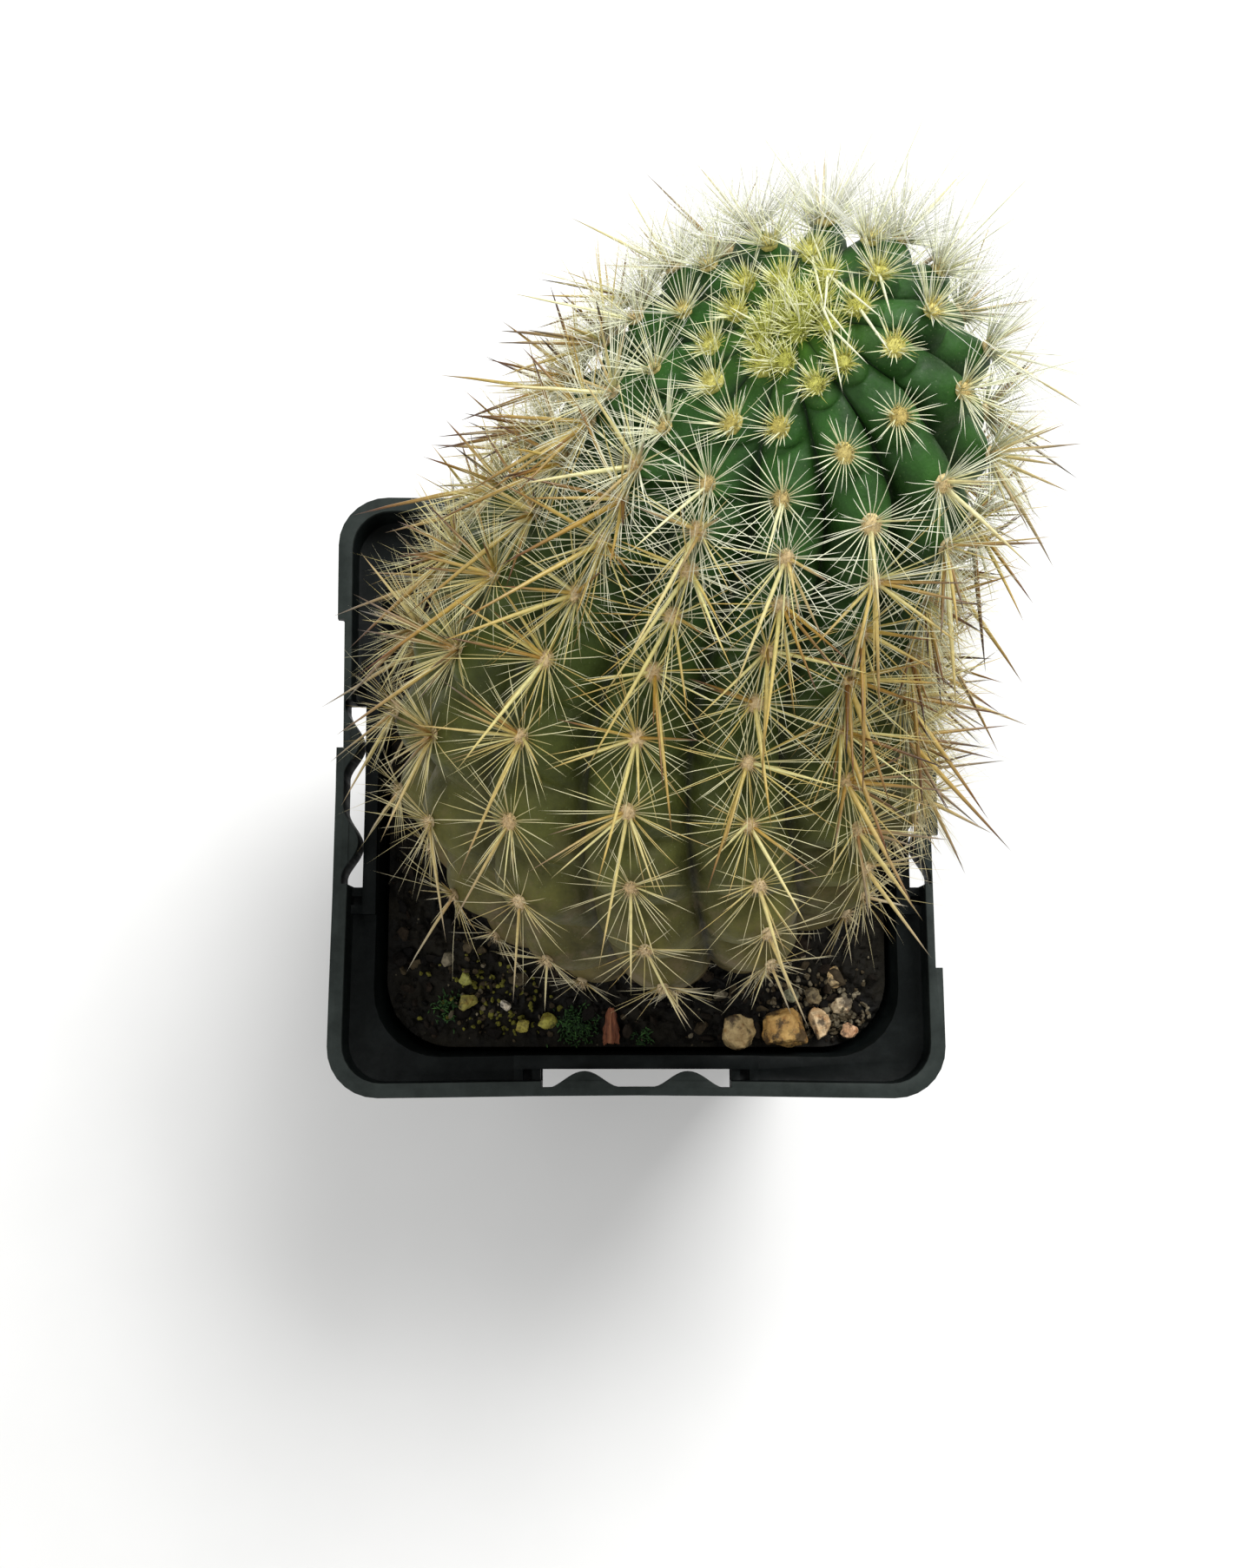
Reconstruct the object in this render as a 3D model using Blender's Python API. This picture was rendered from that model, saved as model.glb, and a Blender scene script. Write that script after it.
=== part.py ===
"""Potted round cactus: a ribbed, spiny short-column cactus growing in a square nursery pot.

Metres, +Z up. The origin is the centre of the pot's underside, and the plant leans towards +Y.
Run it with blender --background --python part.py, or from Blender's text editor.
"""

import math

import bmesh
import bpy
from mathutils import Euler, Vector, noise

MM = 0.001
GAP = 0.3 * MM

# Pot: a rounded square shell with a stepped collar. Halves are measured from the pot's axis.
RIM_HALF = 40 * MM
POT_HEIGHT = 75 * MM
FLOOR_HALF = 27 * MM
WALL = 0.9 * MM
FLOOR_THICK = 1.2 * MM
SHOULDER_Z = POT_HEIGHT - 5 * MM
SHOULDER_THICK = 1.0 * MM
MOUTH_HALF = 34.8 * MM
MOUTH_RADIUS = 9 * MM
COLLAR_HALF = 38.3 * MM
CORNER_RADIUS = 6.5 * MM
LIP_HANG = 1.2 * MM
SIDE_BOW = 0.4 * MM

# The slot in the shoulder at the middle of each side, and the wavy bar outside it.
SLOT_LENGTH = 24.6 * MM
SLOT_INNER = 36.3 * MM
POCKET_LENGTH = 32 * MM
STRIP_RISE = 1.6 * MM
WAVE_PLACE = 6.6 * MM
WAVE_WIDTH = 7.2 * MM
WAVE_RISE = 1.5 * MM
NOTCH_START = 5.8 * MM
NOTCH_END = 23.2 * MM
NOTCH_DEPTH = 0.6 * MM
DRAIN_RADIUS = 3.2 * MM

# Soil
SOIL_Z = POT_HEIGHT - 8 * MM
SOIL_BUMP = 0.7 * MM

# Stem: a ribbed body about a bowed axis. Station lists are read from the base to the growing tip.
STEM_BASE = Vector((3.6, -5.0, 67.4)) * MM
STEM_LENGTH = 90 * MM
LEAN_RIGHT = (-1, 8, 22, -25)
LEAN_AWAY = (7.5, 38, 30, 12)
LEAN_STATIONS = (0, 0.33, 0.67, 1)
RADII = (19.2, 30.7, 26.9, 20.7)
RADIUS_STATIONS = (0, 0.2, 0.5, 0.78)
RIBS = 14
RIB_DEPTH = 0.15
RIB_TURN = -0.8
FIRST_RIB = 2.148
AREOLE_PITCH = 8.1 * MM
TUBERCLE = 0.035
STAGGER = (0.0, 0.5, 0.45, 0.9, 0.3, 0.75, 0.2, 0.6, 0.1, 0.55, 0.35, 0.7, 0.85, 0.1)
SPINE_LENGTH = 12 * MM
SPINE_BASE = 0.6 * MM
SPINE_CLEAR_Z = POT_HEIGHT + 8 * MM
ROOT = ((4, 16), (10, 11), (18, 6), (27, 2.5))


def through(stations, values, at):
    """The smooth curve that passes through the values at their stations (a Lagrange polynomial)."""
    total = 0.0
    for i, (here, value) in enumerate(zip(stations, values)):
        weight = 1.0
        for j, other in enumerate(stations):
            if j != i:
                weight *= (at - other) / (here - other)
        total += weight * value
    return total


def material(name, colour, roughness, metallic=0.0):
    made = bpy.data.materials.new(name)
    made.use_nodes = True
    shader = made.node_tree.nodes["Principled BSDF"]
    shader.inputs["Base Color"].default_value = (*colour, 1)
    shader.inputs["Roughness"].default_value = roughness
    shader.inputs["Metallic"].default_value = metallic
    return made


def object_from(bm, name, collection, finish=None):
    """A new object that holds the bmesh, with its faces pointing out."""
    bmesh.ops.recalc_face_normals(bm, faces=bm.faces)
    mesh = bpy.data.meshes.new(name)
    bm.to_mesh(mesh)
    bm.free()
    made = bpy.data.objects.new(name, mesh)
    collection.objects.link(made)
    if finish:
        mesh.materials.append(finish)
    return made


def shade(obj, sharp_angle=35):
    obj.data.shade_smooth()
    obj.data.set_sharp_from_angle(angle=math.radians(sharp_angle))


def cut_or_join(obj, other, operation):
    modifier = obj.modifiers.new(operation.title(), "BOOLEAN")
    modifier.operation = operation
    modifier.object = other


def loft(rings):
    """A closed bmesh through rings of equal length: a circle is shaped to the first and extruded on."""
    bm = bmesh.new()
    ring = bmesh.ops.create_circle(bm, segments=len(rings[0]), radius=RIM_HALF)["verts"]
    for vert, point in zip(ring, rings[0]):
        vert.co = point
    first_edges = list(bm.edges)
    edges = first_edges
    for points in rings[1:]:
        index = {vert: i for i, vert in enumerate(ring)}
        grown = bmesh.ops.extrude_edge_only(bm, edges=edges)["geom"]
        edges = [item for item in grown if isinstance(item, bmesh.types.BMEdge)]
        following = [None] * len(ring)
        for vert in (item for item in grown if isinstance(item, bmesh.types.BMVert)):
            below = next(e.other_vert(vert) for e in vert.link_edges if e.other_vert(vert) in index)
            following[index[below]] = vert
            vert.co = points[index[below]]
        ring = following
    bmesh.ops.edgeloop_fill(bm, edges=first_edges)
    bmesh.ops.edgeloop_fill(bm, edges=edges)
    return bm


def rounded_square(half, radius, z, bow=0.0, side_steps=4, corner_steps=5):
    """A square outline with round corners, its sides bowed in by up to bow, anticlockwise from +X."""
    points = []
    for quarter in range(4):
        turn = quarter * math.pi / 2
        reach = half - radius
        for step in range(side_steps):
            along = -reach + 2 * reach * step / side_steps
            inset = bow * math.cos(along / half * math.pi / 2) ** 2
            points.append(Vector((half - inset, along, z)))
            points[-1].rotate(Euler((0, 0, turn)))
        for step in range(corner_steps):
            angle = math.pi / 2 * step / corner_steps
            point = Vector((reach + radius * math.cos(angle), reach + radius * math.sin(angle), z))
            point.rotate(Euler((0, 0, turn)))
            points.append(point)
    return points


# ---------------------------------------------------------------- pot


def inner_half(z):
    """Half the width of the pot's cavity below the shoulder."""
    taper = (MOUTH_HALF - FLOOR_HALF + WALL) / (SHOULDER_Z - FLOOR_THICK)
    return MOUTH_HALF - taper * (SHOULDER_Z - z)


def box(bm, low, high, turn=0.0):
    """An axis-aligned box between two corners, then turned about the pot's axis."""
    made = bmesh.ops.create_cube(bm, size=1)["verts"]
    low, high = Vector(low), Vector(high)
    for vert in made:
        vert.co = (low + high) / 2 + Vector(a * b for a, b in zip(vert.co, high - low))
        vert.co.rotate(Euler((0, 0, turn)))


def wave_bump(bm, place, turn):
    """One inward bump of the bar outside a slot: an arched prism that grows out of the collar."""
    steps = 8
    outline = []
    for step in range(steps + 1):
        across = step / steps - 0.5
        rise = WAVE_RISE * math.cos(across * math.pi) ** 2
        outline.append(Vector((COLLAR_HALF - 0.1 * MM - rise, place + across * WAVE_WIDTH, 0)))
    outline.append(Vector((COLLAR_HALF + 0.5 * MM, place + WAVE_WIDTH / 2, 0)))
    outline.append(Vector((COLLAR_HALF + 0.5 * MM, place - WAVE_WIDTH / 2, 0)))
    base = bm.faces.new([bm.verts.new(point) for point in outline])
    lower = SHOULDER_Z - 0.6 * MM
    upper = POT_HEIGHT - 1.6 * MM
    prism = bmesh.ops.extrude_face_region(bm, geom=[base])["geom"]
    top = [item for item in prism if isinstance(item, bmesh.types.BMVert)]
    for vert in base.verts:
        vert.co.z = lower
    for vert in top:
        vert.co.z = upper
    for vert in list(base.verts) + top:
        vert.co.rotate(Euler((0, 0, turn)))


def pot_additions(collection):
    """The raised strip beside each slot and the two bumps of each bar."""
    bm = bmesh.new()
    for quarter in range(4):
        turn = quarter * math.pi / 2
        strip_low = (MOUTH_HALF - 0.05 * MM, -POCKET_LENGTH / 2, SHOULDER_Z - 0.5 * MM)
        strip_high = (SLOT_INNER, POCKET_LENGTH / 2, SHOULDER_Z + STRIP_RISE)
        box(bm, strip_low, strip_high, turn)
        wave_bump(bm, -WAVE_PLACE, turn)
        wave_bump(bm, WAVE_PLACE, turn)
    return object_from(bm, "pot_additions", collection)


def pot_cuts(collection):
    """The slots, the drain holes and the notch at one end of two opposite sides."""
    bm = bmesh.new()
    for quarter in range(4):
        turn = quarter * math.pi / 2
        slot_low = (SLOT_INNER, -SLOT_LENGTH / 2, SHOULDER_Z - 3 * MM)
        slot_high = (COLLAR_HALF - SIDE_BOW - 0.1 * MM, SLOT_LENGTH / 2, SHOULDER_Z + 2 * MM)
        box(bm, slot_low, slot_high, turn)
        for reach in (14 * MM, 20 * MM):
            hole = bmesh.ops.create_cone(
                bm, segments=20, radius1=DRAIN_RADIUS, radius2=DRAIN_RADIUS, depth=6 * MM, cap_ends=True
            )["verts"]
            for vert in hole:
                vert.co += Vector((reach, 0 if reach < 15 * MM else reach, 0))
                vert.co.rotate(Euler((0, 0, turn)))
    for turn in (0, math.pi):
        notch_low = (RIM_HALF - SIDE_BOW - NOTCH_DEPTH, -NOTCH_END, SHOULDER_Z - 4 * MM)
        notch_high = (RIM_HALF + 2 * MM, -NOTCH_START, POT_HEIGHT + 2 * MM)
        box(bm, notch_low, notch_high, turn)
    return object_from(bm, "pot_cuts", collection)


def make_pot(parts, cutters):
    shoulder_half = MOUTH_HALF + WALL
    rings = [
        rounded_square(FLOOR_HALF - 0.8 * MM, 5 * MM, 0),
        rounded_square(FLOOR_HALF, 6 * MM, 0.8 * MM),
        rounded_square(shoulder_half, MOUTH_RADIUS + WALL, SHOULDER_Z - SHOULDER_THICK, SIDE_BOW / 2),
        rounded_square(COLLAR_HALF + 0.5 * MM, CORNER_RADIUS, SHOULDER_Z - SHOULDER_THICK, SIDE_BOW),
        rounded_square(COLLAR_HALF + 0.8 * MM, CORNER_RADIUS, POT_HEIGHT - LIP_HANG, SIDE_BOW),
        rounded_square(RIM_HALF, CORNER_RADIUS, POT_HEIGHT - LIP_HANG + 0.3 * MM, SIDE_BOW),
        rounded_square(RIM_HALF, CORNER_RADIUS, POT_HEIGHT - 0.4 * MM, SIDE_BOW),
        rounded_square(RIM_HALF - 0.4 * MM, CORNER_RADIUS - 0.4 * MM, POT_HEIGHT, SIDE_BOW),
        rounded_square(COLLAR_HALF + 0.1 * MM, CORNER_RADIUS - 0.8 * MM, POT_HEIGHT, SIDE_BOW),
        rounded_square(COLLAR_HALF - 0.3 * MM, CORNER_RADIUS - 1 * MM, SHOULDER_Z, SIDE_BOW),
        rounded_square(MOUTH_HALF, MOUTH_RADIUS, SHOULDER_Z, SIDE_BOW / 2),
        rounded_square(FLOOR_HALF - WALL, 5 * MM, FLOOR_THICK),
    ]
    finish = material("pot_plastic", (0.012, 0.015, 0.015), 0.45)
    pot = object_from(loft(rings), "pot", parts, finish)
    cut_or_join(pot, pot_cuts(cutters), "DIFFERENCE")
    cut_or_join(pot, pot_additions(cutters), "UNION")
    shade(pot)


# ---------------------------------------------------------------- stem


def stem_radius(at):
    """The radius at the ribs' crests, where at runs from 0 at the soil to 1 at the growing tip."""
    values = [radius / dome(station) for radius, station in zip(RADII, RADIUS_STATIONS)]
    return through(RADIUS_STATIONS, values, at) * dome(at) * MM


def dome(at):
    return math.sqrt(max(1 - at * at, 0.0))


def stem_axis(steps=120):
    """Points and directions along the bowed axis, from the base to the growing tip."""
    points, ways = [STEM_BASE.copy()], []
    for step in range(steps + 1):
        at = step / steps
        right = math.radians(through(LEAN_STATIONS, LEAN_RIGHT, at))
        away = math.radians(through(LEAN_STATIONS, LEAN_AWAY, at))
        lean = math.hypot(right, away)
        ways.append(
            Vector((math.sin(lean) * right / lean, math.sin(lean) * away / lean, math.cos(lean)))
        )
    for before, after in zip(ways, ways[1:]):
        points.append(points[-1] + (before + after) / 2 * STEM_LENGTH / steps)
    return points, ways


AXIS_POINTS, AXIS_WAYS = stem_axis()


def stem_frame(at):
    """The axis point at a station, the axis direction there, and two directions square to it."""
    place = min(max(at, 0), 1) * (len(AXIS_POINTS) - 1)
    low = min(int(place), len(AXIS_POINTS) - 2)
    centre = AXIS_POINTS[low].lerp(AXIS_POINTS[low + 1], place - low)
    way = AXIS_WAYS[low].lerp(AXIS_WAYS[low + 1], place - low).normalized()
    left = (Vector((-1, 0, 0)) + way * way.x).normalized()
    return centre, way, left, way.cross(left)


def row_stations():
    """Stations of the rings, half an areole pitch apart along the skin, from the tip to the base."""
    stations, walked, here = [], 0.0, 1.0
    step = 0.002
    wanted = 0.35 * AREOLE_PITCH
    while here > step:
        lower = here - step
        rise = stem_radius(lower) - stem_radius(here)
        walked += math.hypot(rise, step * STEM_LENGTH)
        here = lower
        if walked >= wanted:
            stations.append((here, walked / AREOLE_PITCH))
            wanted += AREOLE_PITCH / 2
    return stations


def stem_ring(at, rows, swell=0.0, ribbed=1.0):
    """One ring of the body: four points to a rib, with a tubercle under each areole."""
    centre, _, left, near = stem_frame(at)
    crest = stem_radius(at)
    points = []
    for rib in range(RIBS):
        bulge = TUBERCLE * math.cos(2 * math.pi * (rows - STAGGER[rib]))
        for part, drop in enumerate((0.0, 0.35, 1.0, 0.35)):
            angle = FIRST_RIB + RIB_TURN * at + 2 * math.pi * (rib + part / 4) / RIBS
            radius = crest * (1 - ribbed * RIB_DEPTH * drop + ribbed * bulge * (1 - drop)) + swell
            points.append(centre + radius * (math.cos(angle) * left + math.sin(angle) * near))
    return points


def root_rings(swell=0.0):
    """The buried neck and root stub, straight down from the base."""
    rings = []
    for depth, radius in ROOT:
        ring = []
        for step in range(RIBS * 4):
            angle = FIRST_RIB + 2 * math.pi * step / (RIBS * 4)
            reach = radius * MM + swell
            ring.append(STEM_BASE + Vector((-math.cos(angle) * reach, -math.sin(angle) * reach, -depth * MM)))
        rings.append(ring)
    return rings


def add_spines(bm, areoles, clear_z):
    """Pulls a small diamond at each areole out into a four-sided central spine."""
    bmesh.ops.recalc_face_normals(bm, faces=bm.faces)
    bm.normal_update()
    for vert in areoles:
        way = (vert.normal + Vector((0, 0, -0.25))).normalized()
        tip = vert.co + way * SPINE_LENGTH
        if vert.co.z < clear_z or tip.z < clear_z:
            continue
        before = set(bm.faces)
        bmesh.ops.bevel(bm, geom=[vert], offset=SPINE_BASE, affect="VERTICES", segments=1)
        diamond = [face for face in bm.faces if face not in before and len(face.verts) == 4]
        small = min(diamond, key=lambda face: face.calc_area())
        peak = bmesh.ops.poke(bm, faces=[small])["verts"][0]
        peak.co = tip


def make_stem(parts):
    rows = row_stations()
    rings = [stem_ring(at, walked) for at, walked in rows]
    rings.append(stem_ring(0, rows[-1][1] + 0.4, ribbed=0.8))
    bm = loft(rings + root_rings())
    bm.verts.ensure_lookup_table()
    areoles = []
    for rib in range(RIBS):
        for number, (_, walked) in enumerate(rows):
            phase = (walked - STAGGER[rib] + 0.25) % 1
            if phase < 0.5 and number > 1:
                areoles.append(bm.verts[number * RIBS * 4 + rib * 4])
    add_spines(bm, areoles, SPINE_CLEAR_Z)
    stem = object_from(bm, "stem", parts, material("flesh", (0.07, 0.13, 0.03), 0.6))
    shade(stem, 60)
    return rows


# ---------------------------------------------------------------- soil and what lies on it


def bumpy(point):
    """Raises or lowers a point of the soil's top."""
    return point + Vector((0, 0, SOIL_BUMP * noise.noise(point * 160)))


LOOSE = {
    # name: (size in mm, place in mm, turn in degrees, colour, roughness)
    "stone_ochre": ((6.4, 5.2, 4.2), (19.6, -30.9), 15, (0.42, 0.24, 0.07), 0.7),
    "stone_grey_yellow": ((4.6, 4.6, 3.8), (13.6, -31.4), 40, (0.40, 0.33, 0.16), 0.65),
    "stone_pale": ((2.8, 4.6, 3.0), (24.4, -30.3), 20, (0.65, 0.45, 0.27), 0.6),
    "stone_cream": ((3.2, 2.2, 1.9), (27.4, -27.9), -25, (0.55, 0.48, 0.34), 0.7),
    "stone_pink": ((2.4, 2.2, 1.8), (28.3, -31.1), 10, (0.50, 0.32, 0.25), 0.7),
    "stone_green_grey": ((2.2, 2.0, 1.8), (20.6, -26.6), 5, (0.30, 0.32, 0.22), 0.8),
    "stone_brown": ((2.2, 2.4, 1.8), (23.6, -26.6), 60, (0.28, 0.24, 0.15), 0.8),
    "grit_tan": ((1.5, 3.4, 1.3), (26.6, -24.2), -30, (0.55, 0.40, 0.20), 0.75),
    "grain_yellow_1": ((2.6, 2.2, 1.8), (-11.8, -29.9), 0, (0.50, 0.42, 0.06), 0.7),
    "grain_yellow_2": ((2.0, 1.8, 1.5), (-15.1, -30.6), 35, (0.42, 0.38, 0.07), 0.7),
    "grain_yellow_3": ((2.2, 2.6, 1.6), (-22.4, -27.6), 70, (0.34, 0.30, 0.08), 0.7),
    "grain_yellow_4": ((1.8, 1.8, 1.5), (-22.8, -24.4), 10, (0.36, 0.36, 0.09), 0.7),
    "grain_white": ((1.5, 1.5, 1.3), (-17.4, -27.9), 20, (0.70, 0.62, 0.48), 0.7),
    "bark_flake": ((2.0, 6.4, 1.3), (-3.4, -31.0), -12, (0.22, 0.07, 0.03), 0.8),
}
SINK = 0.3


def loose_bmesh(name, grow=0.0):
    """A worn lump: a ball brought to its size, roughened, sunk a little in the soil and turned."""
    size, place, turn, _, _ = LOOSE[name]
    bm = bmesh.new()
    bmesh.ops.create_icosphere(bm, subdivisions=2, radius=0.5)
    offset = Vector((place[0], place[1], size[0])) * 3
    for vert in bm.verts:
        rough = 1 + 0.22 * noise.noise(vert.co * 2.5 + offset)
        vert.co = Vector(a * b * MM for a, b in zip(vert.co * rough, size))
    bm.normal_update()
    for vert in bm.verts:
        vert.co += vert.normal * grow
    centre = Vector((place[0] * MM, place[1] * MM, SOIL_Z + size[2] * MM * (0.5 - SINK) + 0.5 * MM))
    for vert in bm.verts:
        vert.co.rotate(Euler((0, 0, math.radians(turn))))
        vert.co += centre
    return bm


def make_loose(parts, cutters):
    """Each stone, grain and flake on the soil, with a grown copy that presses its bed."""
    beds = []
    for name, (_, _, _, colour, roughness) in LOOSE.items():
        lump = object_from(loose_bmesh(name), name, parts, material(name, colour, roughness))
        shade(lump, 40)
        beds.append(object_from(loose_bmesh(name, GAP + 0.1 * MM), "bed_" + name, cutters))
    return beds


def make_soil(parts, cutters, rows, beds):
    top_shares = (0.93, 0.84, 0.74, 0.62, 0.48, 0.3, 0.12)
    bottom_z = FLOOR_THICK + GAP
    edge_z = SOIL_Z - 0.6 * MM
    rings = [
        rounded_square(inner_half(bottom_z) - GAP, 4.7 * MM, bottom_z),
        rounded_square(inner_half(edge_z) - GAP - SIDE_BOW / 2, MOUTH_RADIUS - GAP, edge_z),
    ]
    half = inner_half(SOIL_Z) - GAP - SIDE_BOW / 2
    for share in top_shares:
        ring = rounded_square(half * share, MOUTH_RADIUS * share, SOIL_Z)
        rings.append([bumpy(point) for point in ring])
    soil = object_from(loft(rings), "soil", parts, material("soil", (0.02, 0.015, 0.01), 0.95))
    low_rows = [(at, walked) for at, walked in rows if at < 0.2]
    clearance = GAP + 0.1 * MM
    tubercle_room = clearance + TUBERCLE * stem_radius(0.2)
    socket = [stem_ring(at, walked, swell=tubercle_room, ribbed=0) for at, walked in low_rows]
    socket.append(stem_ring(0, 0, swell=tubercle_room, ribbed=0))
    deepest = root_rings(clearance)
    deepest.append([point - Vector((0, 0, 0.6 * MM)) for point in deepest[-1]])
    cut_or_join(soil, object_from(loft(socket + deepest), "socket", cutters), "DIFFERENCE")
    for bed in beds:
        cut_or_join(soil, bed, "DIFFERENCE")
    shade(soil, 60)


def main():
    for obj in list(bpy.data.objects):
        bpy.data.objects.remove(obj)
    parts = bpy.data.collections.new("Potted round cactus")
    cutters = bpy.data.collections.new("Cutters")
    for collection in (parts, cutters):
        bpy.context.scene.collection.children.link(collection)
    make_pot(parts, cutters)
    rows = make_stem(parts)
    beds = make_loose(parts, cutters)
    make_soil(parts, cutters, rows, beds)
    for helper in cutters.objects:
        helper.hide_render = True
        helper.display_type = "WIRE"


main()
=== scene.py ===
"""Looks of the potted round cactus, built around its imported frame.

A black moulded nursery pot, dark gritty soil with loose stones, and a leaning, ribbed stem with
woolly areoles, fine radial spines and long central spines. Metres, +Z up, as in the frame.
"""

import math
import random
from contextlib import contextmanager

import bmesh
import bpy
import numpy as np
from bpy.props import FloatProperty, FloatVectorProperty, IntProperty, PointerProperty
from mathutils import Euler, Matrix, Vector
from mathutils.bvhtree import BVHTree
from mathutils.noise import noise


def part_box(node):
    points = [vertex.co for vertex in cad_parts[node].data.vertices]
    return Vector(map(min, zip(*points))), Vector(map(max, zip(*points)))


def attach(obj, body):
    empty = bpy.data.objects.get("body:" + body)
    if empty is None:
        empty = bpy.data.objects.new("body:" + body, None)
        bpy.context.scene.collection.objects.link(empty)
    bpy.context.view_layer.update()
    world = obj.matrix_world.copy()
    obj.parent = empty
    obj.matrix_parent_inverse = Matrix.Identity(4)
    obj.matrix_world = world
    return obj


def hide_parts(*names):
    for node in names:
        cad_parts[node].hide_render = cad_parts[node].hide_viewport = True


bl_info = {
    "name": "Potted round cactus",
    "version": (1, 0, 0),
    "blender": (4, 5, 0),
    "location": "3D View > Sidebar > Cactus",
    "description": "Builds the visible pieces of a potted round cactus around its packed frame",
    "category": "Object",
}

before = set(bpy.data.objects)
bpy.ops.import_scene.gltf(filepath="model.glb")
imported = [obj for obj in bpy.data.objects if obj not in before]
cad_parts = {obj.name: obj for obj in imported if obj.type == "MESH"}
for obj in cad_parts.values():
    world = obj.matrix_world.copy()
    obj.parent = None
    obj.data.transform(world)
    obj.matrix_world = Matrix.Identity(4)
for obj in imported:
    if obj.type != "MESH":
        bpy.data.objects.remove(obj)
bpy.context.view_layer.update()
POT_LOW, POT_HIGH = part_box("pot")
SOIL_LOW, SOIL_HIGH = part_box("soil")

MM = 0.001
BODY = "root"

# The stem's axis and outline. A station runs from 0 at the base to 1 at the growing tip.
STEM_BASE = Vector((3.6, -5.0, 67.4)) * MM
LEAN_RIGHT = (-1, 8, 22, -25)  # degrees off the vertical, at each station
LEAN_AWAY = (7.5, 38, 30, 12)
LEAN_STATIONS = (0, 0.33, 0.67, 1)
RADII = (19.2, 30.7, 26.9, 20.7)  # to the ribs' crests, in mm
RADIUS_STATIONS = (0, 0.2, 0.5, 0.78)
RIBS = 14
RIB_TURN = -0.8  # radians that the ribs twist by, from the base to the tip
FIRST_RIB = 2.148  # radians from the stem's left side to its first rib, at the base
# How far the rows of areoles are shifted along each rib, in rows.
STAGGER = (0.0, 0.5, 0.45, 0.9, 0.3, 0.75, 0.2, 0.6, 0.1, 0.55, 0.35, 0.7, 0.85, 0.1)
CROWN_ROWS = 0.8  # rows of young areoles crowded in at the tip
CROWN_REACH = 9 * MM  # how far from the tip they are still crowded
BASE_TUCK = 4.2 * MM  # how far the near side of the base draws in
TUCK_END = 0.35  # the station where it has stopped drawing in
NECK_DEPTH = 6 * MM  # from the base down to the buried foot of the stem

# The pot's levels and the halves of its outlines, from the pot's axis.
SHOULDER_DROP = 5 * MM
MOUTH_HALF = 34.8 * MM
MOUTH_RADIUS = 9 * MM
COLLAR_HALF = 38.3 * MM
SLOT_INNER = 36.55 * MM
SLOT_LENGTH = 24.6 * MM
POCKET_LENGTH = 32 * MM
BAR_INNER = 38.9 * MM  # the thin bar outside a slot, where its two arches start
WAVE_PLACE = 6.8 * MM  # from the middle of a side to the middle of each arch
NOTCH_ENDS = (-23.2 * MM, -5.8 * MM)
NOTCH_DEPTH = 0.95 * MM
DRAIN_PLACES = ((14, 0), (20, 20))  # mm from the pot's axis, repeated on the four sides
DRAIN_RADIUS = 3.2 * MM

SOIL_GAP = 0.5 * MM  # how far the soil's edge is drawn in, so that it clears the pot's wall
BARK_FRONT = -33.2 * MM  # the bark flake stays this side of the pot's wall
DROP_FROM = 0.2  # a height above everything, from which loose bits fall on the soil

CAMERA_SHIFT = (-0.0055, 0.0043)
FULL_TURN = 6.28  # the range of a random turn, in radians
QUARTER_TURN = 1.57

GRAVEL = {
    # CAD node: (slot, facets, softness, two colours, seed)
    "stone_ochre": ("ochre_stone", 11, 2, (0.30, 0.14, 0.025), (0.66, 0.42, 0.14), 3),
    "stone_grey_yellow": ("ochre_stone", 9, 9, (0.30, 0.20, 0.08), (0.66, 0.50, 0.24), 5),
    "stone_pale": ("pale_stone", 11, 2, (0.48, 0.28, 0.11), (0.86, 0.66, 0.40), 8),
    "stone_cream": ("pale_stone", 10, 3, (0.36, 0.27, 0.15), (0.78, 0.64, 0.42), 13),
    "stone_pink": ("pale_stone", 10, 3, (0.40, 0.20, 0.09), (0.76, 0.48, 0.28), 21),
    "stone_green_grey": ("grey_stone", 9, 5, (0.09, 0.10, 0.06), (0.36, 0.36, 0.22), 34),
    "stone_brown": ("grey_stone", 9, 5, (0.08, 0.06, 0.03), (0.32, 0.25, 0.13), 55),
    "grit_tan": ("bark", 7, 5, (0.50, 0.33, 0.13), (0.68, 0.52, 0.28), 89),
    "grain_yellow_1": ("yellow_grain", 8, 9, (0.28, 0.25, 0.03), (0.50, 0.46, 0.09), 144),
    "grain_yellow_2": ("yellow_grain", 8, 9, (0.26, 0.22, 0.03), (0.46, 0.40, 0.08), 233),
    "grain_yellow_3": ("yellow_grain", 8, 9, (0.30, 0.26, 0.05), (0.44, 0.40, 0.10), 377),
    "grain_yellow_4": ("yellow_grain", 8, 9, (0.32, 0.32, 0.06), (0.46, 0.46, 0.14), 610),
    "grain_white": ("pale_stone", 9, 4, (0.74, 0.62, 0.44), (0.90, 0.84, 0.72), 987),
}


# ---------------------------------------------------------------- settings


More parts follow.
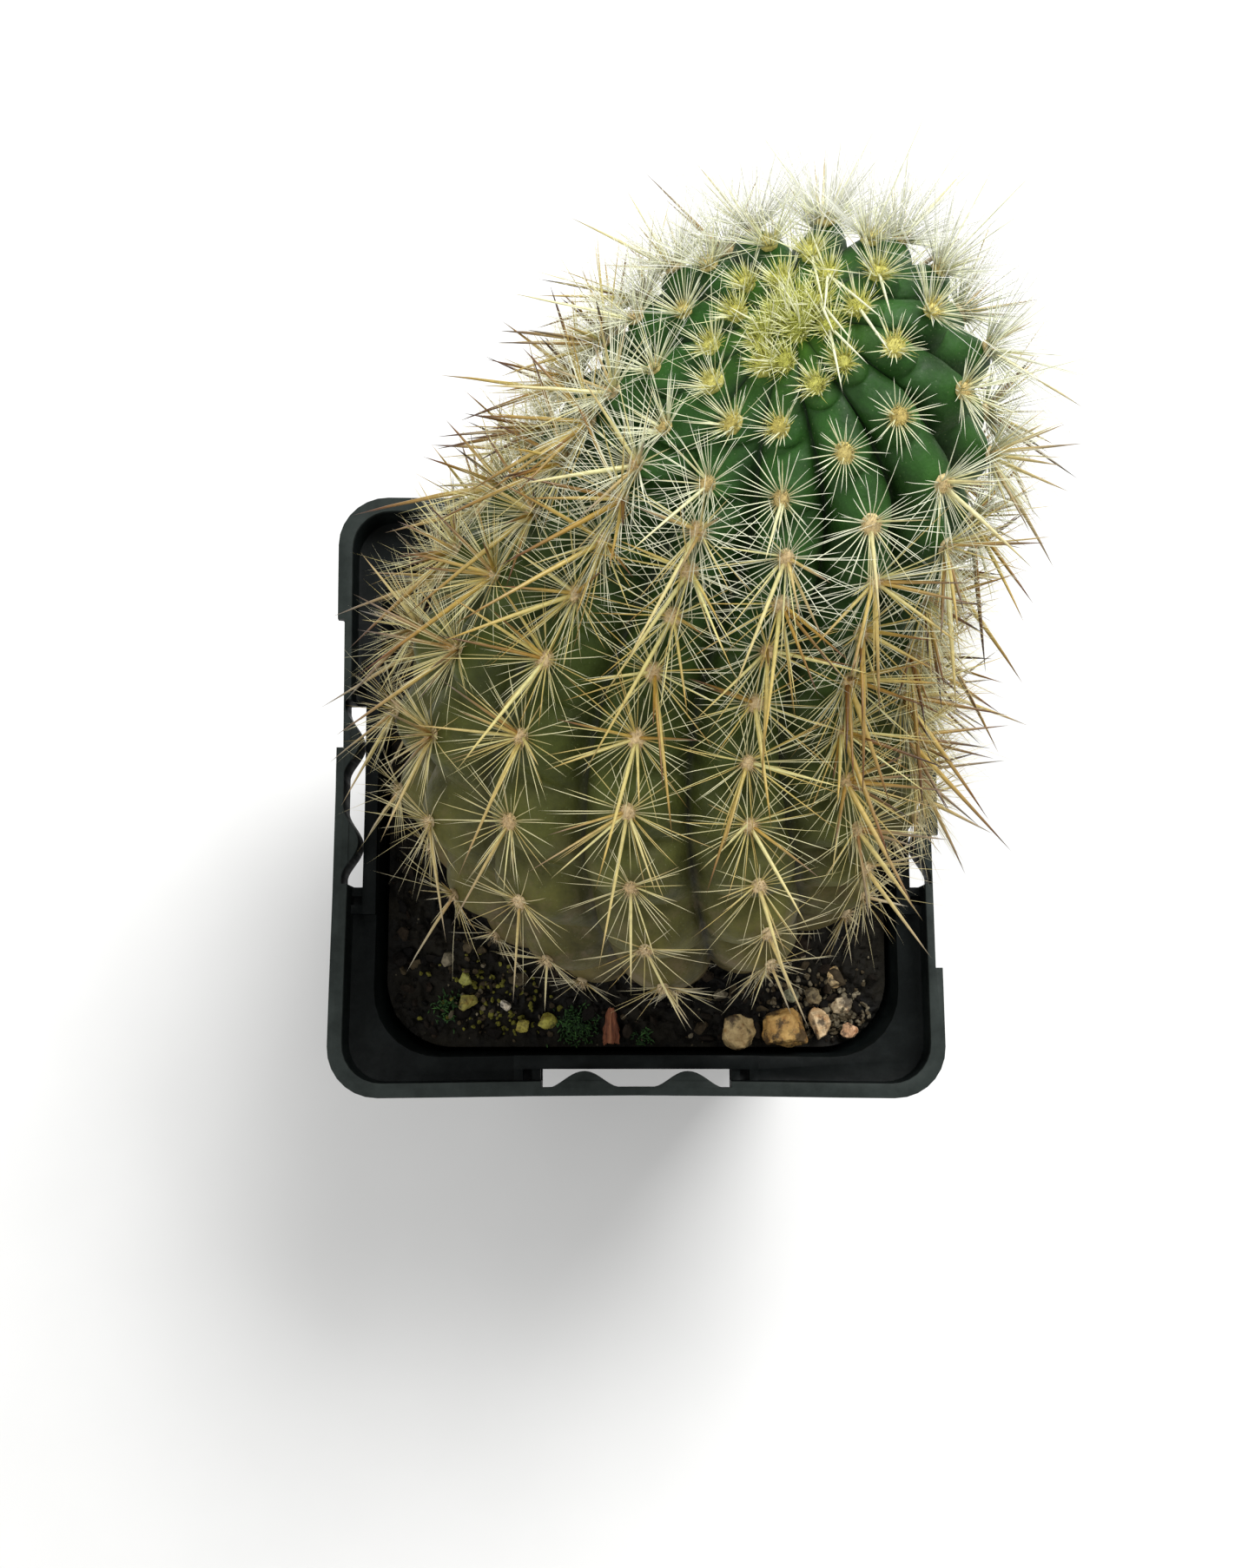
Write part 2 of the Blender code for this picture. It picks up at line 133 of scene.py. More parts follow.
class StageSettings(bpy.types.PropertyGroup):
    floor_colour: FloatVectorProperty(
        name="Floor colour", description="Colour of the plain floor", subtype="COLOR",
        default=(0.86, 0.86, 0.85), min=0, max=1,
    )
    key_power: FloatProperty(
        name="Key light", description="Power of the large overhead light", default=7.0, min=0, unit="POWER",
    )
    sky_strength: FloatProperty(
        name="Sky", description="Strength of the even light from all round", default=0.55, min=0,
    )
    camera_distance: FloatProperty(
        name="Camera distance", description="From the middle of the pot's rim to the camera",
        default=0.240, min=0.05, unit="LENGTH",
    )
    camera_elevation: FloatProperty(
        name="Camera elevation", description="Angle of the view above the horizon",
        default=math.radians(81.8), subtype="ANGLE",
    )
    lens: FloatProperty(
        name="Lens", description="Focal length on a 36 mm sensor", default=41.86, min=1, unit="CAMERA",
    )


class PotSettings(bpy.types.PropertyGroup):
    rim_half: FloatProperty(
        name="Half width", description="From the pot's axis to the outside of its lip",
        default=POT_HIGH.x, min=0.01, unit="LENGTH",
    )
    height: FloatProperty(
        name="Height", description="From the underside to the top of the lip",
        default=POT_HIGH.z, min=0.01, unit="LENGTH",
    )
    floor_half: FloatProperty(
        name="Half width of the floor", description="From the pot's axis to the foot of its wall",
        default=0.027, min=0.005, unit="LENGTH",
    )
    corner_radius: FloatProperty(
        name="Corner radius", description="Radius of the lip's corners", default=0.0066, min=0, unit="LENGTH",
    )
    wall: FloatProperty(
        name="Wall", description="Thickness of the moulded wall", default=0.0009, min=0.0002, unit="LENGTH",
    )
    edge_round: FloatProperty(
        name="Edge rounding", description="Radius of the moulded edges", default=0.00022,
        min=0, unit="LENGTH",
    )
    colour: FloatVectorProperty(
        name="Plastic", description="Colour of the moulded plastic", subtype="COLOR",
        default=(0.0040, 0.0054, 0.0052), min=0, max=1,
    )


class SoilSettings(bpy.types.PropertyGroup):
    level: FloatProperty(
        name="Level", description="Height of the soil's top", default=0.0668, min=0, unit="LENGTH",
    )
    divisions: IntProperty(
        name="Divisions", description="Faces along one side of the soil's top", default=220, min=20,
    )
    crumbs: IntProperty(name="Crumbs", description="Loose crumbs strewn on the soil", default=2500, min=0)
    colour: FloatVectorProperty(
        name="Soil", description="Colour of the damp mix", subtype="COLOR",
        default=(0.0032, 0.0030, 0.0024), min=0, max=1,
    )


class StemSettings(bpy.types.PropertyGroup):
    length: FloatProperty(
        name="Length", description="Along the bowed axis, from the soil to the tip",
        default=0.090, min=0.01, unit="LENGTH",
    )
    rib_depth: FloatProperty(
        name="Rib depth", description="Depth of a furrow as a share of the radius", default=0.165,
        min=0, max=0.5,
    )
    tubercle: FloatProperty(
        name="Tubercle", description="Height of the swelling under an areole as a share of the radius",
        default=0.042, min=0, max=0.2,
    )
    areole_pitch: FloatProperty(
        name="Areole pitch", description="Between neighbouring areoles on a rib", default=0.0081,
        min=0.001, unit="LENGTH",
    )
    steps_per_rib: IntProperty(name="Steps per rib", description="Faces across one rib", default=18, min=4)
    rows: IntProperty(name="Rows", description="Faces from the base to the tip", default=330, min=20)


class SpineSettings(bpy.types.PropertyGroup):
    radials: IntProperty(name="Radials", description="Fine spines round one areole", default=34, min=0)
    radial_length: FloatProperty(
        name="Radial length", description="Length of a full-grown fine spine", default=0.0088,
        min=0.001, unit="LENGTH",
    )
    radial_width: FloatProperty(
        name="Radial width", description="Thickness of a fine spine at its base", default=0.00014,
        min=0.00001, unit="LENGTH",
    )
    haze: IntProperty(name="Haze", description="White hairs round one areole at the back", default=96, min=0)
    intermediates: IntProperty(
        name="Intermediates", description="Golden spines between the fine and the strong ones", default=8,
        min=0,
    )
    central_length: FloatProperty(
        name="Central length", description="Length of the longest spine of an areole", default=0.0165,
        min=0.001, unit="LENGTH",
    )
    central_width: FloatProperty(
        name="Central width", description="Thickness of a central spine at its base", default=0.00052,
        min=0.00001, unit="LENGTH",
    )
    wool: IntProperty(name="Wool", description="Short woolly hairs on one areole", default=48, min=0)


# ---------------------------------------------------------------- ways of working


def deselect_all():
    if bpy.context.object and bpy.context.object.mode != "OBJECT":
        bpy.ops.object.mode_set(mode="OBJECT")
    bpy.ops.object.select_all(action="DESELECT")


def take(obj):
    """Makes obj the only selected object and the active one."""
    deselect_all()
    obj.select_set(True)
    bpy.context.view_layer.objects.active = obj


def added(name):
    """The primitive just added, named, with its place applied to its mesh."""
    obj = bpy.context.active_object
    obj.name = name
    obj.data.name = name
    bpy.ops.object.transform_apply(location=True, rotation=True, scale=True)
    return obj


@contextmanager
def shaping(obj):
    """Edit mode on one object."""
    take(obj)
    bpy.ops.object.mode_set(mode="EDIT")
    bpy.ops.mesh.select_all(action="SELECT")
    yield
    bpy.ops.object.mode_set(mode="OBJECT")


def pick(obj, kind, test):
    """In edit mode, selects only the vertices, edges or faces that pass the test."""
    bpy.ops.mesh.select_mode(type=kind)
    bpy.ops.mesh.select_all(action="DESELECT")
    bm = bmesh.from_edit_mesh(obj.data)
    bm.normal_update()
    for item in {"VERT": bm.verts, "EDGE": bm.edges, "FACE": bm.faces}[kind]:
        if test(item):
            item.select_set(True)
    bm.select_flush_mode()
    bmesh.update_edit_mesh(obj.data)


def extrude_face(rise, widen=1.0):
    """Extrudes the selected face straight up, then widens its outline about the pot's axis."""
    bpy.ops.mesh.extrude_region_move(TRANSFORM_OT_translate={"value": (0, 0, rise)})
    bpy.ops.transform.resize(value=(widen, widen, 1), center_override=(0, 0, 0))


def modify(obj, kind, **settings):
    """Adds a modifier with these settings and applies it."""
    take(obj)
    modifier = obj.modifiers.new(kind.title(), kind)
    for name, value in settings.items():
        setattr(modifier, name, value)
    bpy.ops.object.modifier_apply(modifier=modifier.name)


def combine(obj, other, operation):
    """Joins other to obj, or cuts it out of obj, and removes it."""
    modify(obj, "BOOLEAN", operation=operation, object=other, solver="EXACT")
    bpy.data.objects.remove(other)


def join(name, pieces):
    """One object from several, under a new name."""
    take(pieces[0])
    for piece in pieces:
        piece.select_set(True)
    bpy.ops.object.join()
    return added(name)


def block(name, low, high):
    """A box between two corners."""
    low, high = Vector(low), Vector(high)
    deselect_all()
    bpy.ops.mesh.primitive_cube_add(size=1, location=(low + high) / 2, scale=high - low)
    return added(name)


def turned_copy(obj, quarter):
    """A copy with its own mesh, turned by quarters about the pot's axis."""
    copy = obj.copy()
    copy.data = obj.data.copy()
    bpy.context.scene.collection.objects.link(copy)
    copy.data.transform(Matrix.Rotation(quarter * math.pi / 2, 4, "Z"))
    return copy


def four_sides(name, obj):
    """The piece and its copies on the pot's three other sides, as one."""
    return join(name, [obj] + [turned_copy(obj, quarter) for quarter in (1, 2, 3)])


def smooth(obj, degrees):
    take(obj)
    bpy.ops.object.shade_smooth_by_angle(angle=math.radians(degrees))


def place_piece(obj, finish, slot, *nodes):
    """Gives a finished piece its material and its body, and hides the CAD nodes it stands for."""
    obj.data.materials.clear()
    obj.data.materials.append(finish)
    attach(obj, BODY)
    if nodes:
        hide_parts(*nodes)
    return obj


def clouds(name, size, depth=2):
    """A procedural texture for a Displace modifier."""
    texture = bpy.data.textures.new(name, "CLOUDS")
    texture.noise_scale = size
    texture.noise_depth = depth
    return texture


def roughen(obj, texture, strength, **settings):
    """Pushes the surface in and out by a texture."""
    modify(
        obj, "DISPLACE", texture=texture, strength=strength, mid_level=0.5, texture_coords="LOCAL", **settings
    )


def through(stations, values, at):
    """The smooth curve that passes through the values at their stations (a Lagrange polynomial)."""
    total = 0.0
    for i, (here, value) in enumerate(zip(stations, values)):
        weight = 1.0
        for j, other in enumerate(stations):
            if j != i:
                weight = weight * (at - other) / (here - other)
        total = total + weight * value
    return total


# ---------------------------------------------------------------- finishes


class Finish:
    """A material and its Principled shader, with short ways to add nodes."""

    def __init__(self, name, **sockets):
        self.material = bpy.data.materials.new(name)
        self.material.use_nodes = True
        self.tree = self.material.node_tree
        self.shader = self.tree.nodes["Principled BSDF"]
        for socket, value in sockets.items():
            self.shader.inputs[socket.replace("_", " ")].default_value = value

    def add(self, kind, inputs, **settings):
        made = self.tree.nodes.new("ShaderNode" + kind)
        for name, value in settings.items():
            setattr(made, name, value)
        for socket, value in inputs.items():
            if isinstance(value, bpy.types.NodeSocket):
                self.tree.links.new(value, made.inputs[socket])
            else:
                made.inputs[socket].default_value = value
        return made

    def coordinates(self, stretch=(1, 1, 1)):
        place = self.add("TexCoord", {}).outputs["Object"]
        return self.add("Mapping", {"Vector": place, "Scale": stretch}).outputs["Vector"]

    def noise(self, scale, detail=4.0, roughness=0.55, stretch=(1, 1, 1)):
        inputs = {
            "Vector": self.coordinates(stretch), "Scale": scale, "Detail": detail, "Roughness": roughness,
        }
        return self.add("TexNoise", inputs).outputs["Fac"]

    def cells(self, scale, feature="F1", output="Distance"):
        inputs = {"Vector": self.coordinates(), "Scale": scale}
        return self.add("TexVoronoi", inputs, feature=feature).outputs[output]

    def attribute(self, name):
        return self.add("Attribute", {}, attribute_name=name).outputs["Fac"]

    def ramp(self, factor, *stops):
        """A colour ramp. Each stop is a place from 0 to 1 and a colour, or a grey."""
        made = self.add("ValToRGB", {"Fac": factor})
        elements = made.color_ramp.elements
        while len(elements) < len(stops):
            elements.new(0.5)
        for element, (place, colour) in zip(elements, stops):
            element.position = place
            element.color = (*colour, 1) if hasattr(colour, "__len__") else (colour, colour, colour, 1)
        return made.outputs["Color"]

    def mix(self, factor, first, second, blend="MIX"):
        made = self.add("Mix", {}, data_type="RGBA", blend_type=blend)
        for index, value in ((0, factor), (6, first), (7, second)):
            if isinstance(value, bpy.types.NodeSocket):
                self.tree.links.new(value, made.inputs[index])
            elif index:
                made.inputs[index].default_value = (*value, 1)
            else:
                made.inputs[index].default_value = value
        return made.outputs[2]

    def maths(self, operation, first, second=0.0):
        made = self.add("Math", {0: first, 1: second}, operation=operation, use_clamp=True)
        return made.outputs[0]

    def colour(self, socket):
        self.tree.links.new(socket, self.shader.inputs["Base Color"])

    def roughness(self, socket):
        self.tree.links.new(socket, self.shader.inputs["Roughness"])

    def bump(self, *layers):
        """Bump from several heights, each with its strength and its depth in metres."""
        normal = None
        for height, strength, depth in layers:
            inputs = {"Height": height, "Strength": strength, "Distance": depth}
            if normal:
                inputs["Normal"] = normal
            normal = self.add("Bump", inputs).outputs["Normal"]
        self.tree.links.new(normal, self.shader.inputs["Normal"])


def plastic_finish(base, lip_start):
    """Satin black plastic: faint cloudy scuffs, a painted highlight on the lip's top, lime bloom and a fine
    moulded grain.
    """
    plastic = Finish("moulded_plastic", Specular_IOR_Level=0.07)
    bloom = plastic.noise(220, 5, 0.7)
    scuffs = plastic.noise(900, 3, 0.6, stretch=(1, 1, 0.12))
    specks = plastic.cells(1500)
    dark = tuple(base)
    pale = tuple(2.0 * channel + 0.003 for channel in base)
    bloom_and_lip_highlight = plastic.ramp(bloom, (0.42, dark), (0.78, pale))
    dust = plastic.ramp(specks, (0.02, 1.0), (0.07, 0.0))
    sparse = plastic.ramp(plastic.noise(420, 2), (0.60, 0.0), (0.72, 0.5))
    height = plastic.add("SeparateXYZ", {"Vector": plastic.coordinates()}).outputs["Z"]
    # Painted highlight: the top band of the lip is lightened, in cloudy patches.
    lip = plastic.add("MapRange", {"Value": height, "From Min": lip_start, "From Max": lip_start + 0.5 * MM})
    painted_highlight_and_wear = plastic.maths("MULTIPLY", lip.outputs["Result"], plastic.ramp(bloom, (0.25, 0.35), (0.7, 1.0)))
    bloom_and_lip_highlight = plastic.mix(painted_highlight_and_wear, bloom_and_lip_highlight, (0.030, 0.037, 0.034))
    plastic.colour(plastic.mix(plastic.maths("MULTIPLY", dust, sparse), bloom_and_lip_highlight, (0.12, 0.115, 0.10)))
    plastic.roughness(plastic.ramp(scuffs, (0.3, 0.36), (0.75, 0.60)))
    plastic.bump((plastic.noise(2600, 2), 0.10, 0.0001), (bloom, 0.18, 0.0002))
    return plastic.material


def soil_finish(base):
    """Damp potting mix: near black, with brown fibres and pale mineral flecks."""
    mix = Finish("potting_mix", Specular_IOR_Level=0.2)
    broad = mix.noise(160, 6, 0.65)
    dark = tuple(base)
    brown = tuple(a * 4.0 for a in (base[0] * 1.1, base[1], base[2] * 0.8))
    ground = mix.ramp(broad, (0.38, dark), (0.62, brown))
    flecks = mix.ramp(mix.cells(900), (0.10, 1.0), (0.17, 0.0))
    some = mix.ramp(mix.noise(700, 2), (0.58, 0.0), (0.66, 0.7))
    mix.colour(mix.mix(mix.maths("MULTIPLY", flecks, some), ground, (0.20, 0.17, 0.11)))
    mix.roughness(mix.ramp(broad, (0.3, 0.62), (0.7, 0.95)))
    mix.bump((mix.cells(1100), 0.6, 0.0004), (mix.noise(3500, 3), 0.5, 0.0002))
    return mix.material


def crumb_finish():
    """Crumbs of bark, coir and pumice, each with its own colour from its tint."""
    crumb = Finish("crumbs", Roughness=0.85, Specular_IOR_Level=0.2)
    own = crumb.ramp(
        crumb.attribute("tint"), (0.0, (0.004, 0.0035, 0.003)), (0.55, (0.012, 0.009, 0.006)),
        (0.80, (0.030, 0.020, 0.012)), (0.93, (0.10, 0.075, 0.040)), (0.985, (0.28, 0.24, 0.16)),
    )
    own = crumb.mix(crumb.attribute("age"), own, (0.20, 0.19, 0.03))
    mottled = crumb.ramp(crumb.noise(1800, 4), (0.3, 0.45), (0.7, 1.0))
    crumb.colour(crumb.mix(1.0, own, mottled, "MULTIPLY"))
    crumb.bump((crumb.noise(2600, 3), 0.6, 0.0002))
    return crumb.material


def moss_finish():
    """Tiny green leaves, some of them yellower."""
    moss = Finish("moss", Roughness=0.8)
    own = moss.ramp(moss.attribute("tint"), (0.0, (0.010, 0.040, 0.010)), (1.0, (0.060, 0.17, 0.03)))
    moss.colour(moss.mix(1.0, own, moss.ramp(moss.noise(1500), (0.3, 0.5), (0.7, 1.0)), "MULTIPLY"))
    return moss.material


def stone_finish(name, dark, pale):
    """A worn mineral: cloudy colour, fine dark pits, iron stain and a rough grain."""
    stone = Finish(name, Specular_IOR_Level=0.4)
    body = stone.ramp(stone.noise(420, 5, 0.65), (0.34, dark), (0.64, pale))
    stain = stone.ramp(stone.noise(900, 3), (0.56, 0.0), (0.72, 0.75))
    rust = tuple(a * b for a, b in zip(dark, (0.75, 0.5, 0.3)))
    body = stone.mix(stain, body, rust)
    dirt = stone.ramp(stone.noise(310, 4, 0.7), (0.50, 0.0), (0.60, 0.85))
    body = stone.mix(dirt, body, (0.022, 0.015, 0.009))
    pits = stone.ramp(stone.cells(2600), (0.06, 0.35), (0.20, 1.0))
    stone.colour(stone.mix(1.0, body, pits, "MULTIPLY"))
    stone.roughness(stone.ramp(stone.noise(1600), (0.3, 0.5), (0.7, 0.85)))
    stone.bump((stone.noise(1500, 6, 0.7), 0.55, 0.0004), (stone.cells(2600), 0.3, 0.0002))
    return stone.material


def bark_finish():
    """A reddish flake: long fibres that run along it, in dark and pale streaks."""
    bark = Finish("bark", Roughness=0.82)
    grain = bark.noise(900, 5, 0.6, stretch=(2.2, 0.25, 1))
    bark.colour(bark.ramp(grain, (0.32, (0.045, 0.014, 0.007)), (0.5, (0.20, 0.062, 0.025)),
                          (0.68, (0.36, 0.15, 0.07))))
    bark.bump((grain, 0.7, 0.0004))
    return bark.material


def flesh_finish():
    """The stem's skin: deep green at the crown, olive lower down and corky brown at the base."""
    flesh = Finish("flesh", Specular_IOR_Level=0.22)
    age = flesh.attribute("age")
    crest = flesh.attribute("crest")
    green = flesh.ramp(
        age, (0.0, (0.060, 0.150, 0.016)), (0.10, (0.019, 0.072, 0.010)), (0.36, (0.017, 0.050, 0.007)),
        (0.56, (0.050, 0.066, 0.010)), (0.78, (0.092, 0.084, 0.020)), (0.97, (0.075, 0.050, 0.020)),
    )
    # Painted shade and highlight: the furrows are darkened and the rib crests lightened.
    furrow = flesh.ramp(crest, (0.0, 0.34), (0.40, 0.76), (1.0, 1.15))
    body = flesh.mix(1.0, green, furrow, "MULTIPLY")
    mottle = flesh.ramp(flesh.noise(230, 5, 0.62), (0.30, 0.55), (0.70, 1.35))
    body = flesh.mix(1.0, body, mottle, "MULTIPLY")
    pores = flesh.ramp(flesh.cells(1700), (0.05, 1.0), (0.16, 0.0))
    body = flesh.mix(flesh.maths("MULTIPLY", pores, 0.35), body, (0.20, 0.26, 0.12))
    scab = flesh.ramp(flesh.noise(300, 6, 0.7), (0.50, 0.0), (0.62, 1.0))
    old = flesh.ramp(age, (0.62, 0.0), (0.98, 0.85))
    body = flesh.mix(flesh.maths("MULTIPLY", scab, old), body, (0.150, 0.108, 0.060))
    flesh.colour(body)
    flesh.roughness(flesh.ramp(flesh.noise(700, 3), (0.3, 0.48), (0.7, 0.68)))
    flesh.bump((flesh.noise(1400, 4, 0.6), 0.35, 0.0003), (flesh.cells(1700), 0.25, 0.00015))
    return flesh.material


def radial_finish():
    """Fine glassy spines: lemon at the crown, silvery on the green body, straw lower down."""
    spine = Finish("fine_spine", Roughness=0.38, Specular_IOR_Level=0.5)
    age = spine.attribute("age")
    base = spine.ramp(
        age, (0.0, (0.78, 0.78, 0.26)), (0.08, (0.80, 0.80, 0.42)), (0.22, (0.84, 0.85, 0.64)),
        (0.50, (0.80, 0.76, 0.42)), (0.72, (0.62, 0.54, 0.27)), (1.0, (0.46, 0.40, 0.26)),
    )
    tip = spine.ramp(
        age, (0.0, (0.86, 0.88, 0.52)), (0.12, (0.88, 0.91, 0.72)), (0.32, (0.92, 0.92, 0.74)),
        (0.58, (0.88, 0.85, 0.54)), (0.76, (0.66, 0.59, 0.38)), (1.0, (0.66, 0.63, 0.54)),
    )
    along = spine.mix(spine.attribute("along"), base, tip)
    tint = spine.ramp(
        spine.attribute("tint"), (0.0, (0.74, 0.56, 0.26)), (0.14, (0.94, 0.88, 0.62)), (0.5, 1.0),
        (1.0, 1.12),
    )
    own = spine.mix(1.0, along, tint, "MULTIPLY")
    # Painted light: this white, given to the share of hairs towards the back, is partly their own pale colour
    # and partly painted light for the lamp shining through them.
    white = spine.ramp(spine.attribute("tint"), (0.95, 0.0), (0.99, 1.0))
    spine.colour(spine.mix(white, own, (0.97, 0.97, 0.88)))
    return spine.material


def central_finish():
    """Strong spines: lemon, golden or brown by their tint, with darker ends, and dull on the old base."""
    spine = Finish("strong_spine", Roughness=0.38, Specular_IOR_Level=0.5)
    age, tint = spine.attribute("age"), spine.attribute("tint")
    base = spine.ramp(
        tint, (0.0, (0.78, 0.76, 0.36)), (0.30, (0.70, 0.59, 0.19)), (0.65, (0.54, 0.34, 0.055)),
        (1.0, (0.26, 0.115, 0.020)),
    )
    tip = spine.ramp(
        tint, (0.0, (0.70, 0.62, 0.26)), (0.25, (0.46, 0.30, 0.06)), (0.55, (0.15, 0.055, 0.010)),
        (1.0, (0.030, 0.011, 0.004)),
    )
    along = spine.ramp(spine.attribute("along"), (0.18, 0.0), (0.80, 1.0))
    colour = spine.mix(along, base, tip)
    painted_highlight_and_wear = spine.ramp(
        spine.attribute("along"), (0.05, (0.40, 0.24, 0.09)), (0.3, (0.56, 0.47, 0.24)),
        (0.95, (0.62, 0.57, 0.42)),
    )
    colour = spine.mix(spine.ramp(age, (0.52, 0.0), (0.90, 0.80)), colour, painted_highlight_and_wear)
    fresh = spine.ramp(age, (0.0, 0.9), (0.28, 0.0))
    colour = spine.mix(fresh, colour, (0.88, 0.90, 0.66))
    bands = spine.ramp(spine.noise(1500, 2), (0.3, 0.80), (0.7, 1.05))
    spine.colour(spine.mix(1.0, colour, bands, "MULTIPLY"))
    return spine.material


def felt_finish():
    """Areole wool: bright yellow when young, tan on the body and greyish at the base."""
    felt = Finish("areole_wool", Roughness=0.9)
    own = felt.ramp(
        felt.attribute("age"), (0.0, (0.60, 0.64, 0.13)), (0.07, (0.68, 0.66, 0.17)),
        (0.13, (0.68, 0.55, 0.20)), (0.21, (0.80, 0.62, 0.34)), (0.60, (0.76, 0.58, 0.32)),
        (1.0, (0.60, 0.48, 0.30)),
    )
    tint = felt.ramp(felt.attribute("tint"), (0.0, (0.84, 0.74, 0.62)), (0.5, 1.0), (1.0, 1.2))
    own = felt.mix(1.0, own, tint, "MULTIPLY")
    fibres = felt.ramp(felt.noise(3000, 3), (0.3, 0.6), (0.7, 1.1))
    felt.colour(felt.mix(1.0, own, fibres, "MULTIPLY"))
    felt.bump((felt.noise(4000, 2), 0.6, 0.0002))
    return felt.material


# ---------------------------------------------------------------- stage


class CACTUS_OT_stage(bpy.types.Operator):
    """Lays the floor and sets the lights and the camera"""

    bl_idname = "cactus.stage"
    bl_label = "Stage"

    def execute(self, context):
        stage = context.scene.cactus_stage
        self.lay_floor(stage)
        self.light(context.scene, stage)
        self.aim_camera(context.scene, stage)
        return {"FINISHED"}

    def lay_floor(self, stage):
        deselect_all()
        bpy.ops.mesh.primitive_plane_add(size=8)
        floor = added("floor")
        paper = Finish("paper", Roughness=0.9)
        tone = tuple(stage.floor_colour)
        shade = tuple(0.97 * channel for channel in tone)
        paper.colour(paper.ramp(paper.noise(30, 3), (0.3, shade), (0.7, tone)))
        floor.data.materials.append(paper.material)

    def light(self, scene, stage):
        world = bpy.data.worlds.new("sky")
        world.use_nodes = True
        sky = world.node_tree.nodes["Background"]
        sky.inputs["Color"].default_value = (1.0, 1.0, 1.0, 1)
        sky.inputs["Strength"].default_value = stage.sky_strength
        scene.world = world
        scene.view_settings.view_transform = "Standard"
        target = Vector((0, 0, 0.08))
        lamps = (
            # name, place, side of the panel, share of the key light's power
            ("key", Vector((0.28, 0.42, 0.66)), 0.42, 1.0),
            ("fill", Vector((-0.55, -0.35, 0.70)), 0.60, 0.30),
        )
        for name, place, side, share in lamps:
            lamp = bpy.data.lights.new(name, "AREA")
            lamp.size = side
            lamp.energy = stage.key_power * share
            made = bpy.data.objects.new(name, lamp)
            made.location = place
            made.rotation_euler = (target - place).to_track_quat("-Z", "Y").to_euler()
            scene.collection.objects.link(made)

    def aim_camera(self, scene, stage):
        rim = Vector((0, 0, POT_HIGH.z))
        rise = stage.camera_elevation
        camera = bpy.data.cameras.new("camera")
        camera.lens = stage.lens
        camera.sensor_width = 36
        camera.clip_start = 0.01
        camera.shift_x, camera.shift_y = CAMERA_SHIFT
        made = bpy.data.objects.new("camera", camera)
        made.location = rim + stage.camera_distance * Vector((0, -math.cos(rise), math.sin(rise)))
        made.rotation_euler = Euler((math.pi / 2 - rise, 0, 0))
        scene.collection.objects.link(made)
        scene.camera = made


# ---------------------------------------------------------------- pot


def rounded_plate(name, half, radius, z, cuts=5, corner_steps=7):
    """A flat square with round corners and points along its sides, the start of a moulding."""
    deselect_all()
    bpy.ops.mesh.primitive_plane_add(size=2 * half, location=(0, 0, z))
    obj = added(name)
    with shaping(obj):
        bpy.ops.mesh.subdivide(number_cuts=cuts)
        bpy.ops.mesh.dissolve_faces(use_verts=False)
        reach = half * 0.999
        pick(obj, "VERT", lambda vert: abs(vert.co.x) > reach and abs(vert.co.y) > reach)
        bpy.ops.mesh.bevel(offset=radius, segments=corner_steps, affect="VERTICES")
        bpy.ops.mesh.select_mode(type="FACE")
        bpy.ops.mesh.select_all(action="SELECT")
    return obj


def moulded_block(name, half, radius, levels):
    """A solid lofted upwards from a rounded plate. Each level is a height and a half width."""
    obj = rounded_plate(name, half, radius, levels[0][0])
    height, width = levels[0]
    with shaping(obj):
        bpy.ops.mesh.select_mode(type="FACE")
        for level, wide in levels[1:]:
            extrude_face(level - height, wide / width)
            height, width = level, wide
    with shaping(obj):
        bpy.ops.mesh.normals_make_consistent(inside=False)
    return obj


def bow_sides(obj, pot, depth=0.4 * MM):
    """Pulls the middle of each side in a little, as cooling plastic does."""
    for vert in obj.data.vertices:
        share = min(max(vert.co.z / pot.height, 0), 1)
        for here, other in ((0, 1), (1, 0)):
            side = vert.co[here] / pot.rim_half
            if abs(side) > 0.55 and abs(side) > abs(vert.co[other]) / pot.rim_half:
                pull = math.cos(min(abs(vert.co[other]) / pot.rim_half, 1) * math.pi / 2) ** 2
                vert.co[here] -= math.copysign(depth * share * pull, side)


def wave_bump(z_low, z_high, place, outer, width=8.8 * MM, rise=2.05 * MM):
    """One smooth arch of the bar outside a slot."""
    deselect_all()
    bpy.ops.mesh.primitive_grid_add(
        x_subdivisions=1, y_subdivisions=18, size=1, location=(outer, place, z_low)
    )
    arch = bpy.context.active_object
    arch.scale = (0.4 * MM, width, 1)
    arch = added("arch")
    for vert in arch.data.vertices:
        if vert.co.x < outer:
            wave = math.cos((vert.co.y - place) / width * math.pi) ** 2
            vert.co.x = outer - rise * wave ** 0.8
    with shaping(arch):
        bpy.ops.mesh.extrude_region_move(TRANSFORM_OT_translate={"value": (0, 0, z_high - z_low)})
        bpy.ops.mesh.select_all(action="SELECT")
        bpy.ops.mesh.normals_make_consistent(inside=False)
    return arch


